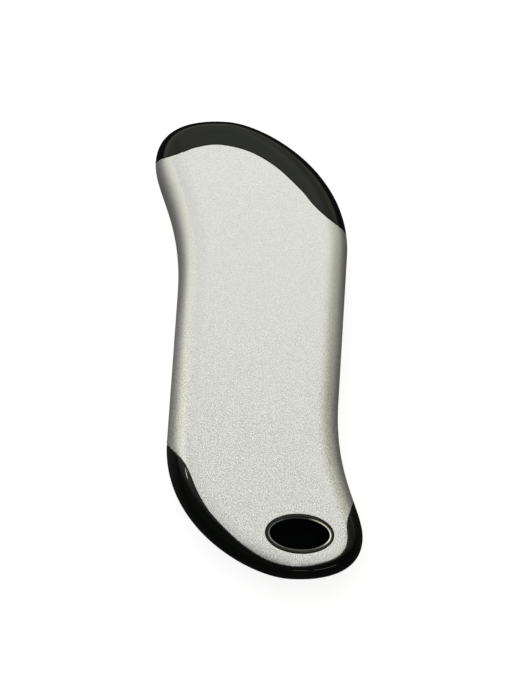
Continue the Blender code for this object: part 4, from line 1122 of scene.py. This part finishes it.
@dataclass
class LanyardEye:
    """The oval liner through the body, with a rolled lip and a chamfer at both mouths.

    Points are in millimetres. Those of the lip lie inwards from the liner's outside and down from
    its crown, those of the mouth outwards from the bore and down from the chamfer's foot, and those
    of the bead, which holds the liner under the shell, outwards and down from the body's face.
    """

    form: Form
    place: Pair = (0.6045, 0.4547)
    bore_width: float = 15.2 * MM
    bore_height: float = 7.7 * MM
    wall: float = 1.0 * MM
    clearance: float = 0.08 * MM
    recess: float = 0.1 * MM
    lip: Sequence[Pair] = ((0.0, 0.30), (0.03, 0.16), (0.10, 0.05), (0.20, 0.01), (0.32, 0.0), (0.48, 0.01),
                           (0.60, 0.05), (0.62, 0.08))
    lip_width: float = 0.60 * MM
    lip_fall: float = 0.08 * MM
    chamfer_degrees: float = 27.0
    mouth: Sequence[Pair] = ((0.01, 0.04), (0.0, 0.12))
    chamfer_end: float = 0.03 * MM
    chamfer_start: float = 0.02 * MM
    bead: Sequence[Pair] = ((0.0, 3.2), (0.4, 2.9), (0.4, 1.9), (0.0, 1.8))
    sides: int = 96
    edge_reach: float = 0.5 * MM

    def oval(self, grow: float) -> list[Pair]:
        """The bore's outline, grown by a distance.

        Args:
            grow: The distance.

        Returns:
            Points about the origin.
        """
        wide = self.bore_width / 2 + grow
        high = self.bore_height / 2 + grow
        angles = [2 * math.pi * step / self.sides for step in range(self.sides)]
        return [(wide * math.cos(angle), high * math.sin(angle)) for angle in angles]

    def centre(self) -> Vector:
        """Middle of the bore in plan."""
        return self.form.end_place(self.place, End.FOOT)

    def borders(self, edge: bmesh.types.BMEdge) -> bool:
        """Whether an edge lies round the hole in the shells."""
        middle = self.centre()
        reach = self.edge_reach + self.wall + self.clearance
        wide = self.bore_width / 2 + reach
        high = self.bore_height / 2 + reach
        return all(math.hypot((vert.co.x - middle.x) / wide, (vert.co.y - middle.y) / high) < 1
                   for vert in edge.verts)

    def hole(self) -> Solid:
        """The hole in both shells."""
        frame = Matrix.Translation(self.centre().to_3d())
        outline = self.oval(self.wall + self.clearance)
        return Solid().prism(outline, -OVERRUN, self.form.thickness + OVERRUN, frame)

    def build(self) -> Solid:
        """The liner, as a hoop of ovals.

        Returns:
            The solid.
        """
        shelf = self.wall - self.lip_width
        slope = math.tan(math.radians(self.chamfer_degrees))
        sill = self.recess + self.lip_fall
        outer = [(self.wall + out * MM, down * MM) for out, down in self.bead]
        face = [(self.wall - inwards * MM, self.recess + down * MM) for inwards, down in self.lip]
        face.append((self.chamfer_end, sill + (shelf - self.chamfer_start - self.chamfer_end) * slope))
        face += [(grow * MM, sill + shelf * slope + down * MM) for grow, down in self.mouth]
        low = [(self.wall, self.form.middle_z), *outer, *face, (0.0, outer[-1][1]), (0.0, self.form.middle_z)]
        high = [(grow, self.form.thickness - z) for grow, z in reversed(low[1:-1])]
        middle = self.centre()
        rings = [[Vector((middle.x + u, middle.y + v, z)) for u, v in self.oval(grow)]
                 for grow, z in low + high]
        return Solid().loft(rings, hoop=True)

    def dress(self) -> None:
        """Publish the liner."""
        # The liner's finish paints a highlight on the chamfer round the bore.
        finish = LinerPlastic("black_painted_lip_highlight", BLACK.slot, BLACK.colour, centre=tuple(self.centre()),
                              bore_half=(self.bore_width / 2, self.bore_height / 2))
        self.build().publish("eye_liner", finish, "housing", "lanyard_eyelet")


@dataclass
class Port:
    """A socket in the top cap: sheet shell, insulator and contacts.

    The four shares of a spring window are its place across, its width, its start and its length.
    """

    name: str
    x: float
    low_z: float
    width: float
    height: float
    depth: float
    wall: float
    corner: float
    block_depth: float
    tongue_width: float
    tongue_thickness: float
    setback: float
    contacts: int
    insulator: Finish
    mouth_y: float = 55.9 * MM
    clearance: float = 0.3 * MM
    window_depth: float = 5.0 * MM
    flare: float = 0.09 * MM
    tip_round: float = 0.18 * MM
    round_facets: int = 2
    square_corner: float = 0.1 * MM
    edge_reach: float = 0.01 * MM
    spring_window: tuple[float, float, float, float] = (0.25, 0.16, 0.36, 0.3)
    spring_over: float = 1.0 * MM
    contact_share: float = 0.54
    contact_margin: float = 0.4
    contact_start: float = 0.35 * MM
    contact_proud: float = 0.06 * MM
    contact_sunk: float = 0.02 * MM

    def __post_init__(self) -> None:
        """Set the frame at the mouth, running into the body."""
        place = Vector((self.x, self.mouth_y))
        self.frame = inward_frame(place, Vector((0, 1)), self.low_z + self.height / 2)

    def at_mouth(self, setback: float) -> Callable[[bmesh.types.BMEdge], bool]:
        """Test for sharp edges no further in than a setback."""
        limit = self.mouth_y - setback - self.edge_reach
        return lambda edge: is_sharp(edge) and all(vert.co.y > limit for vert in edge.verts)

    def window(self) -> Solid:
        """The opening in the cap for this port."""
        outline = rounded_rectangle(self.width + 2 * self.clearance, self.height + 2 * self.clearance,
                                    self.corner + self.clearance)
        return Solid().prism(outline, -self.window_depth, self.window_depth, self.frame)

    def shell(self) -> Solid:
        """Folded sheet shell with a flared mouth edge and two spring windows on top.

        Returns:
            The solid.
        """
        inner = (self.width - 2 * self.wall, self.height - 2 * self.wall, self.corner - self.wall)
        outline = rounded_rectangle(self.width, self.height, self.corner)
        shell = Solid().prism(outline, 0.0, self.depth, self.frame)
        room = Solid().prism(rounded_rectangle(*inner), -self.spring_over, self.depth - self.wall, self.frame)
        across, wide, start, run = self.spring_window
        slot = rounded_rectangle(self.width * wide, 2 * self.wall + self.spring_over, self.square_corner, 1)
        steps = [(Step.TAKE, room)]
        for side in (-1, 1):
            spot = Matrix.Translation((side * self.width * across, self.height / 2, self.depth * start))
            steps.append((Step.TAKE, Solid().prism(slot, 0.0, self.depth * run, self.frame @ spot)))
        return shell.carve(*steps).soften(self.flare, self.round_facets, self.at_mouth(0.0))

    def blade(self) -> Solid:
        """Insulator: a block at the back and a tongue with a chamfered tip.

        Returns:
            The solid.
        """
        inside = 2 * (self.wall + self.clearance)
        back = self.depth - self.wall - self.clearance
        block = rounded_rectangle(self.width - inside, self.height - inside, self.square_corner, 1)
        tongue = rounded_rectangle(self.tongue_width, self.tongue_thickness, self.square_corner, 1)
        solid = Solid().prism(block, back - self.block_depth, back, self.frame)
        tongue_end = back - self.block_depth / 2
        solid.carve((Step.JOIN, Solid().prism(tongue, self.setback, tongue_end, self.frame)))
        return solid.soften(self.tip_round, self.round_facets, self.at_mouth(self.setback))

    def springs(self) -> Solid:
        """Contact strips that lie on the tongue.

        Returns:
            The solid.
        """
        solid = Solid()
        pitch = self.tongue_width / (self.contacts + self.contact_margin)
        half = pitch * self.contact_share / 2
        top = -self.tongue_thickness / 2
        proud, sunk = top - self.contact_proud, top + self.contact_sunk
        end = self.depth - self.block_depth - self.wall - self.clearance
        for number in range(self.contacts):
            u = pitch * (number - (self.contacts - 1) / 2)
            bar = [(u - half, proud), (u + half, proud), (u + half, sunk), (u - half, sunk)]
            solid.prism(bar, self.setback + self.contact_start, end, self.frame)
        return solid

    def dress(self) -> None:
        """Publish the shell, the insulator and the contacts."""
        self.shell().publish(self.name + "_sheet", STEEL, "housing", self.name + "_shell")
        self.blade().publish(self.name + "_insulator", self.insulator, "housing", self.name + "_tongue")
        self.springs().publish(self.name + "_contacts", GOLD, "housing")


@dataclass
class PressButton:
    """The power button in the top cap's shoulder."""

    form: Form
    shoulder_share: float = 0.53
    width: float = 9.4 * MM
    height: float = 4.6 * MM
    sunk: float = 0.3 * MM
    edge: float = 0.45 * MM
    edge_steps: int = 4
    dish: float = 0.16 * MM
    dish_flat: float = 0.12 * MM
    dish_shares: Sequence[float] = (0.85, 0.6, 0.35)
    clearance: float = 0.24 * MM
    window_depth: float = 5.0 * MM
    flange: float = 3.6 * MM
    flange_rim: float = 0.9 * MM
    flange_thickness: float = 0.8 * MM
    stem_diameter: float = 3.4 * MM
    stem_length: float = 1.1 * MM
    stem_sides: int = 32
    corner_steps: int = 10
    window_steps: int = 12

    def __post_init__(self) -> None:
        """Set the frame on the wall at the button's middle."""
        self.frame = self.form.shoulder_frame(self.shoulder_share)

    def slot(self, grow: float, steps: int) -> list[Pair]:
        """The key's outline grown by a distance, with steps at each corner."""
        height = self.height + 2 * grow
        return rounded_rectangle(self.width + 2 * grow, height, height / 2, steps)

    def window(self) -> Solid:
        """The slot in the cap for the button."""
        outline = self.slot(self.clearance, self.window_steps)
        return Solid().prism(outline, -OVERRUN, self.window_depth, self.frame)

    def build(self) -> Solid:
        """A slot-shaped key with a rolled edge and a dished crown, its flange and its stem.

        Returns:
            The solid.
        """
        half = self.height / 2
        levels = [(self.dish_flat - half, self.sunk + self.dish)]
        levels += [(-half * share, self.sunk + self.dish * share ** 2) for share in self.dish_shares]
        for step in range(self.edge_steps + 1):
            angle = quarter_turn(step, self.edge_steps)
            levels.append((-self.edge * (1 - math.sin(angle)), self.sunk + self.edge * (1 - math.cos(angle))))
        back = self.flange + self.flange_thickness
        levels += [(0.0, self.flange), (self.flange_rim, self.flange), (self.flange_rim, back)]
        rings = [[self.frame @ Vector((u, v, depth)) for u, v in self.slot(grow, self.corner_steps)]
                 for grow, depth in levels]
        start = self.flange + self.flange_thickness / 2
        end = back + self.stem_length
        radius = self.stem_diameter / 2
        profile = [(0, start), (radius, start), (radius, end), (0, end)]
        stem = Solid().turn(profile, self.frame, self.stem_sides)
        return Solid().loft(rings).carve((Step.JOIN, stem))

    def dress(self) -> None:
        """Publish the key."""
        self.build().publish("button_key", BLACK, "button", "power_button")


@dataclass
class StatusLights:
    """Four round lenses beside the button, on one light guide."""

    form: Form
    shoulder_share: float = 0.29
    count: int = 4
    pitch: float = 2.2 * MM
    diameter: float = 1.3 * MM
    sunk: float = 0.3 * MM
    dome: float = 0.3 * MM
    dome_steps: int = 6
    sides: int = 28
    clearance: float = 0.16 * MM
    window_depth: float = 5.0 * MM
    bar_start: float = 3.6 * MM
    bar_thickness: float = 1.0 * MM
    bar_end: float = 1.0 * MM
    bar_low: float = -3.1 * MM

    def __post_init__(self) -> None:
        """Set the frame on the wall at the middle of the row."""
        self.frame = self.form.shoulder_frame(self.shoulder_share)

    def row(self, profile: Sequence[Pair]) -> Solid:
        """A profile spun at each lens.

        Args:
            profile: Radius and depth of each point.

        Returns:
            The solid.
        """
        solid = Solid()
        for step in range(self.count):
            u = self.pitch * (step - (self.count - 1) / 2)
            solid.turn(profile, self.frame @ Matrix.Translation((u, 0, 0)), self.sides)
        return solid

    def windows(self) -> Solid:
        """The round holes in the cap."""
        radius = self.diameter / 2 + self.clearance
        low, high = -OVERRUN, self.window_depth
        return self.row([(0, low), (radius, low), (radius, high), (0, high)])

    def build(self) -> Solid:
        """The guide's bar with its domed pins.

        Returns:
            The solid.
        """
        half = (self.count - 1) * self.pitch / 2 + self.bar_end
        bar = [(-half, self.bar_low), (half, self.bar_low), (half, self.bar_end), (-half, self.bar_end)]
        solid = Solid().prism(bar, self.bar_start, self.bar_start + self.bar_thickness, self.frame)
        radius = self.diameter / 2
        angles = [quarter_turn(step, self.dome_steps) for step in range(self.dome_steps + 1)]
        pin = [(radius * math.sin(angle), self.sunk + self.dome * (1 - math.cos(angle))) for angle in angles]
        end = self.bar_start + self.bar_thickness / 2
        return solid.carve((Step.JOIN, self.row(pin + [(radius, end), (0, end)])))

    def dress(self) -> None:
        """Publish the guide."""
        self.build().publish("light_guide", CLEAR, "housing", "status_light_pipe")


@dataclass
class Housing:
    """Both half shells and both end caps."""

    form: Form
    top_seam: Seam
    foot_seam: Seam
    eye: LanyardEye
    ports: Sequence[Port]
    button: PressButton
    lights: StatusLights
    shell_wall: float = 1.5 * MM
    lip_inset: float = 0.9 * MM
    lip_height: float = 1.2 * MM
    split_gap: float = 0.2 * MM
    seam_gap: float = 0.06 * MM
    clearance: float = 0.3 * MM
    tongue_inset: float = 1.8 * MM
    cavity_inset: float = 2.6 * MM
    tongue_depth: float = 2.0 * MM
    shell_edge: float = 0.13 * MM
    eye_edge: float = 0.22 * MM
    cap_edge: float = 0.18 * MM
    eye_facets: int = 4
    edge_facets: int = 3
    weld: float = 0.06 * MM
    skin_reach: float = 0.03 * MM

    def __post_init__(self) -> None:
        """Keep the body's skin to find the edges that lie on it."""
        self.skin = BVHTree.FromBMesh(self.form.body(fine=True).bm)

    def on_skin(self, edge: bmesh.types.BMEdge) -> bool:
        """Whether an edge is sharp and lies on the body's skin."""
        return is_sharp(edge) and all(self.skin.find_nearest(vert.co)[3] < self.skin_reach
                                      for vert in edge.verts)

    def finish_shell(self, shell: Solid, *steps: tuple[Step, Solid]) -> Solid:
        """Carve a shell, cut both ends and the eye off it, and round its edges on the skin.

        Args:
            shell: The shell's outside.
            *steps: What to do to it before the ends are cut.

        Returns:
            The solid.
        """
        cuts = (self.top_seam.region(), self.foot_seam.region(), self.eye.hole())
        shell.carve(*steps, *[(Step.TAKE, cut) for cut in cuts])
        shell.soften(self.eye_edge, self.eye_facets,
                     lambda edge: self.on_skin(edge) and self.eye.borders(edge), self.weld)
        return shell.soften(self.shell_edge, self.edge_facets,
                            lambda edge: self.on_skin(edge) and not self.eye.borders(edge), self.weld)

    def rear(self) -> Solid:
        """The rear half shell, hollow, with a rebate for the front one's lip.

        Returns:
            The solid.
        """
        form = self.form
        low = form.middle_z + self.split_gap / 2
        start = form.middle_z - OVERRUN
        room = form.body(self.shell_wall, start)
        rebate = form.body(self.lip_inset - self.clearance, start, low + self.lip_height + self.clearance)
        return self.finish_shell(form.body(low=low, fine=True), (Step.TAKE, room), (Step.TAKE, rebate))

    def front(self) -> Solid:
        """The front half shell, hollow, with its lap lip.

        Returns:
            The solid.
        """
        form = self.form
        high = form.middle_z - self.split_gap / 2
        lip = form.body(self.lip_inset, form.middle_z - OVERRUN, high + self.lip_height)
        room = form.body(self.shell_wall, high=form.middle_z + 2 * OVERRUN)
        return self.finish_shell(form.body(high=high, fine=True), (Step.JOIN, lip), (Step.TAKE, room))

    def cap(self, seam: Seam, openings: Iterable[Solid]) -> Solid:
        """An end cap with the tongue that reaches under the shells.

        Args:
            seam: Its parting line.
            openings: What is cut out of it.

        Returns:
            The solid.
        """
        form = self.form
        tongue = form.body(self.tongue_inset).carve((Step.KEEP, seam.region(-self.tongue_depth)))
        cap = form.body(fine=True).carve(
            (Step.KEEP, seam.region(self.seam_gap)),
            (Step.JOIN, tongue),
            (Step.TAKE, form.body(self.cavity_inset)),
            *[(Step.TAKE, opening) for opening in openings],
        )
        return cap.soften(self.cap_edge, self.edge_facets, self.on_skin, self.weld)

    def dress(self) -> None:
        """Publish the four pieces."""
        self.rear().publish("rear_skin", SILVER, "housing", "rear_shell")
        self.front().publish("front_skin", SILVER, "housing", "front_shell")
        openings = [port.window() for port in self.ports]
        openings += [self.button.window(), self.lights.windows()]
        self.cap(self.top_seam, openings).publish("crest_cap", BLACK, "housing", "top_cap")
        self.cap(self.foot_seam, ()).publish("foot_cap", BLACK, "housing", "bottom_cap")


@dataclass
class Innards:
    """The sealed pieces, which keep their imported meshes."""

    finishes: dict[str, Finish]

    def dress(self, nodes: dict[str, bpy.types.Object]) -> None:
        """Give each piece its finish.

        Args:
            nodes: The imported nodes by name.
        """
        for name, finish in self.finishes.items():
            for slot in nodes[name].material_slots:
                slot.material = finish.material()
            LOG.info("%s: finish %s", name, finish.name)


@dataclass(frozen=True)
class Pool:
    """A painted pool of light on the floor that only gloss sees: pale away from the body, least to the right
    and past the foot, and painted dark near the body as shade.
    """

    start: float = 30.0 * MM
    reach: float = 95.0 * MM
    straight: float = 34.0 * MM
    lean: float = 0.2
    crest: Pair = (5.0 * MM, 45.0 * MM)
    crest_gain: float = 60.0 * MM
    right: Pair = (0.0, 60.0 * MM)
    right_loss: float = 0.45
    foot: Pair = (-70.0 * MM, -5.0 * MM)
    foot_least: float = 0.03
    rise: Pair = (-45.0 * MM, 60.0 * MM)
    rise_least: float = 0.38

    def share(self, across: Socket, along: Socket) -> Socket:
        """Share of the painted pool of light that gloss sees on the floor.

        Args:
            across: Place on the floor across the body.
            along: Place on the floor along the body.

        Returns:
            The share.
        """
        past_end = (abs(along) - self.straight).most(0.0)
        beside = across + along * self.lean
        away = (beside * beside + past_end * past_end) ** 0.5 - along.eased(*self.crest) * self.crest_gain
        share = 1.0 - math.e ** ((self.start - away).least(0.0) / self.reach)
        share = share * (1.0 - across.eased(*self.right) * self.right_loss)
        share = share * (along.eased(*self.foot) * (1.0 - self.foot_least) + self.foot_least)
        return share * (along.eased(*self.rise) + self.rise_least)


@dataclass(frozen=True)
class Sky:
    """A pale sky, darker at the horizon, at both sides, towards -Y and in a blot beside the top."""

    overhead: float = 1.105
    dark_side: float = 0.07
    foot_dip: float = 2.0
    rise: Pair = (-0.62, 0.12)
    right_gain: float = 1.6
    right_end: Pair = (0.15, 0.6)
    right_rise: Pair = (0.1, 0.96)
    right_loss: float = 0.66
    edge: Pair = (0.08, 0.48)
    edge_rise: Pair = (0.1, 0.6)
    edge_swing: float = 0.12
    edge_loss: float = 0.26
    left: Pair = (0.3, 0.75)
    left_rise: Pair = (-0.2, 0.6)
    left_swing: float = 0.13
    left_loss: float = -0.02
    tilt: Pair = (0.62, 0.28)
    tilt_rise: Pair = (0.5, 0.95)
    blot: Pair = (-0.16, -0.10)
    blot_spread: float = 14.0
    blot_rise: Pair = (0.0, 0.2)
    blot_loss: float = 0.45
    low_colour: Colour = (1.0, 0.985, 0.77)
    high_colour: Colour = (0.98, 1.0, 0.985)
    high_rise: Pair = (0.3, 0.95)
    high_left: Pair = (0.1, 0.6)
    high_left_gain: float = 0.4

    def strength(self, across: Socket, along: Socket, up: Socket) -> Socket:
        """Brightness in a direction.

        Args:
            across: The direction's part to the right.
            along: Its part towards the top end.
            up: Its part upwards.

        Returns:
            The brightness.
        """
        rise = up + along.least(0.0) * self.foot_dip
        light = rise.eased(*self.rise) * (self.overhead - self.dark_side) + self.dark_side
        right = (across * self.right_gain).clamped() * (1.0 - along.eased(*self.right_end))
        light = light * (1.0 - right * (1.0 - up.eased(*self.right_rise)) * self.right_loss)
        loss = up.eased(*self.edge_rise) * self.edge_swing + self.edge_loss
        light = light * (1.0 - across.eased(*self.edge) * loss)
        loss = up.eased(*self.left_rise) * self.left_swing + self.left_loss
        light = light * (1.0 - (across * -1.0).eased(*self.left) * loss)
        light = light * (1.0 + (across * self.tilt[0] + along * self.tilt[1]) * up.eased(*self.tilt_rise))
        beside = across - self.blot[0]
        before = along - self.blot[1]
        blot = math.e ** ((beside * beside + before * before) * -self.blot_spread)
        return light * (1.0 - blot * up.eased(*self.blot_rise) * self.blot_loss)

    def build(self) -> None:
        """Set the world up, plain white for the camera."""
        world = bpy.data.worlds.new("soft_sky")
        bpy.context.scene.world = world
        world.use_nodes = True
        graph = Graph(world.node_tree)
        across, along, up = graph.axes(graph.add("ShaderNodeTexCoord", output="Generated"))
        camera = graph.ray("Is Camera Ray")
        strength = self.strength(across, along, up) * (1.0 - camera) + camera
        left = (across * -1.0).eased(*self.high_left)
        high = up.eased(*self.high_rise) + left * self.high_left_gain + camera
        colour = graph.blend(high.clamped(), self.low_colour, self.high_colour)
        shade = graph.add("ShaderNodeBackground", {}, {"Color": colour, "Strength": strength})
        graph.add("ShaderNodeOutputWorld", {}, {"Surface": shade})


@dataclass(frozen=True)
class Lamp:
    """A rectangular light, with its power in watts and whether gloss reflects it."""

    name: str
    place: Place
    aim: Place
    size: Pair
    power: float
    shows: bool = True

    def hang(self) -> None:
        """Add the light to the scene."""
        light = bpy.data.lights.new(self.name, "AREA")
        light.shape = "RECTANGLE"
        light.size, light.size_y = self.size
        light.energy = self.power
        made = bpy.data.objects.new(self.name, light)
        made.location = self.place
        made.rotation_euler = (Vector(self.aim) - Vector(self.place)).to_track_quat("-Z", "Y").to_euler()
        made.visible_glossy = self.shows
        bpy.context.scene.collection.objects.link(made)


FOOT_CORNER = (-22.0 * MM, -38.0 * MM, 24.0 * MM)
LAMPS = (
    Lamp("soft_box", (-0.20, 0.35, 0.80), (0.0, 0.0, 0.0), (0.6, 0.6), 2.0, False),
    Lamp("upper_pane", (-0.480, -0.165, 0.482), FOOT_CORNER, (0.045, 0.016), 0.10),
    Lamp("lower_pane", (-0.534, -0.224, 0.396), FOOT_CORNER, (0.050, 0.016), 0.11),
    Lamp("left_card", (0.096, -0.710, 0.045), FOOT_CORNER, (0.075, 0.030), 0.015),
    Lamp("right_card", (0.269, -0.662, 0.045), FOOT_CORNER, (0.220, 0.030), 0.06),
)


@dataclass
class Studio:
    """Pale floor, sky, lamps and the camera of the photograph."""

    eye: LanyardEye
    pool: Pool = Pool()
    sky: Sky = Sky()
    lamps: Sequence[Lamp] = LAMPS
    floor_half: float = 2.5
    floor_drop: float = 0.02 * MM
    # The floor's dark colour for light that bounces; the camera sees it too in the painted shade under the
    # eye's bore.
    floor_colour: Colour = (0.018, 0.02, 0.02)
    pale_colours: tuple[Colour, Colour] = ((0.34, 0.34, 0.34), (0.36, 0.36, 0.36))
    pale_size: float = 60.0 * MM
    camera_glow: float = 0.79
    pool_glow_for_gloss: float = 0.92
    # Margin round the bore of the painted shade patch under the eye.
    shade_patch_margin: float = 1.0 * MM
    lens: float = 89.14
    sensor: float = 36.0
    nearest: float = 0.01
    camera_place: Place = (-8.325 * MM, -35.245 * MM, 353.37 * MM)
    camera_turn: Place = (5.777, -2.002, 3.729)

    def outside_eye_shade_patch(self, across: Socket, along: Socket) -> Socket:
        """1 on the floor outside a patch under the eye's bore; inside it the camera sees the floor's dark
        colour, painted shade.

        Args:
            across: Place on the floor across the body.
            along: Place on the floor along the body.

        Returns:
            The share.
        """
        middle = self.eye.centre()
        wide = (across - middle.x) / (self.eye.bore_width / 2 + self.shade_patch_margin)
        high = (along - middle.y) / (self.eye.bore_height / 2 + self.shade_patch_margin)
        return (wide ** 2.0 + high ** 2.0) > 1.0

    def floor(self) -> None:
        """A floor that looks white and keeps a soft shadow, with painted shade under the eye's bore and a
        painted pool of light that gloss sees away from the body.
        """
        bm = bmesh.new()
        bmesh.ops.create_grid(bm, x_segments=1, y_segments=1, size=self.floor_half)
        bmesh.ops.translate(bm, verts=bm.verts, vec=(0, 0, -self.floor_drop))
        plane = Solid(bm).to_object("studio_floor")
        made = bpy.data.materials.new("pale_floor")
        made.use_nodes = True
        graph = Graph(made.node_tree)
        across, along, _ = graph.axes(graph.place())
        # The camera sees the pale floor except in a patch under the eye's bore, which is painted dark as
        # shade.
        seen = graph.ray("Is Camera Ray") + graph.ray("Is Transmission Ray")
        seen = seen * self.outside_eye_shade_patch(across, along)
        # Gloss sees a painted pool of light on the floor, dark near the body as painted shade.
        gloss_light_pool = graph.ray("Is Glossy Ray") * self.pool.share(across, along)
        pale = graph.blend(graph.noise(graph.place(), self.pale_size), *self.pale_colours)
        matt = graph.add("ShaderNodeBsdfDiffuse", {}, {"Color": graph.blend(seen, self.floor_colour, pale)})
        strength = seen * self.camera_glow + gloss_light_pool * self.pool_glow_for_gloss
        glow = graph.add("ShaderNodeEmission", {}, {"Color": (1, 1, 1, 1), "Strength": strength})
        both = graph.add("ShaderNodeAddShader", {}, {0: matt, 1: glow})
        graph.add("ShaderNodeOutputMaterial", {}, {"Surface": both})
        plane.data.materials.append(made)

    def camera(self) -> None:
        """The photograph's view: nearly straight down, slightly turned."""
        data = bpy.data.cameras.new("view")
        data.sensor_fit = "HORIZONTAL"
        data.sensor_width = self.sensor
        data.lens = self.lens
        data.clip_start = self.nearest
        made = bpy.data.objects.new("view", data)
        made.location = self.camera_place
        made.rotation_euler = [math.radians(angle) for angle in self.camera_turn]
        bpy.context.scene.collection.objects.link(made)
        bpy.context.scene.camera = made

    def build(self) -> None:
        """Set up floor, sky, lamps and camera."""
        self.floor()
        self.sky.build()
        for lamp in self.lamps:
            lamp.hang()
        self.camera()
        bpy.context.scene.view_settings.view_transform = "Standard"


# Places on each seam: share of the half grip across, share of the end length from the body's end.
TOP_SHARES = (
    (-1.60, 0.475), (-1.36, 0.460), (-1.20, 0.450), (-1.04, 0.403), (-0.88, 0.343), (-0.62, 0.301),
    (-0.27, 0.345), (0.06, 0.479), (0.37, 0.690), (0.53, 0.830), (0.70, 0.944), (0.86, 1.015),
    (1.02, 1.064), (1.20, 1.113),
)
FOOT_SHARES = (
    (-1.20, 1.380), (-0.97, 1.211), (-0.78, 1.069), (-0.69, 0.953), (-0.57, 0.761),
    (-0.39, 0.566), (-0.03, 0.316), (0.32, 0.174), (0.66, 0.151), (0.97, 0.223),
    (1.11, 0.309), (1.155, 0.423), (1.14, 0.579), (1.175, 0.701), (1.23, 0.802), (1.33, 0.991),
)


def main() -> None:
    """Build the housing and its fittings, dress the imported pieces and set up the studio."""
    logging.basicConfig(level=logging.INFO, format="%(name)s: %(message)s")
    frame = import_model()
    form = Form()
    eye = LanyardEye(form)
    lows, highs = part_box("usb_output_shell")
    usb = Port("usb_output", (lows[0] + highs[0]) / 2, lows[2], width=13.2 * MM, height=5.8 * MM,
               depth=14.0 * MM, wall=0.35 * MM, corner=0.9 * MM, block_depth=3.6 * MM, tongue_width=11.1 * MM,
               tongue_thickness=1.8 * MM, setback=1.2 * MM, contacts=4, insulator=WHITE)
    lows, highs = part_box("micro_usb_shell")
    micro = Port("micro_usb", (lows[0] + highs[0]) / 2, lows[2], width=7.5 * MM, height=2.7 * MM,
                 depth=5.4 * MM, wall=0.3 * MM, corner=0.7 * MM, block_depth=1.4 * MM, tongue_width=3.7 * MM,
                 tongue_thickness=0.6 * MM, setback=0.8 * MM, contacts=5, insulator=DARK)
    button = PressButton(form)
    lights = StatusLights(form)
    Housing(form, Seam(form, End.TOP, TOP_SHARES), Seam(form, End.FOOT, FOOT_SHARES), eye, (usb, micro),
            button, lights).dress()
    for part in (eye, usb, micro, button, lights):
        part.dress()
    Innards(PACKED_FINISHES).dress(frame["nodes"])
    Studio(eye).build()


if __name__ == "__main__":
    main()
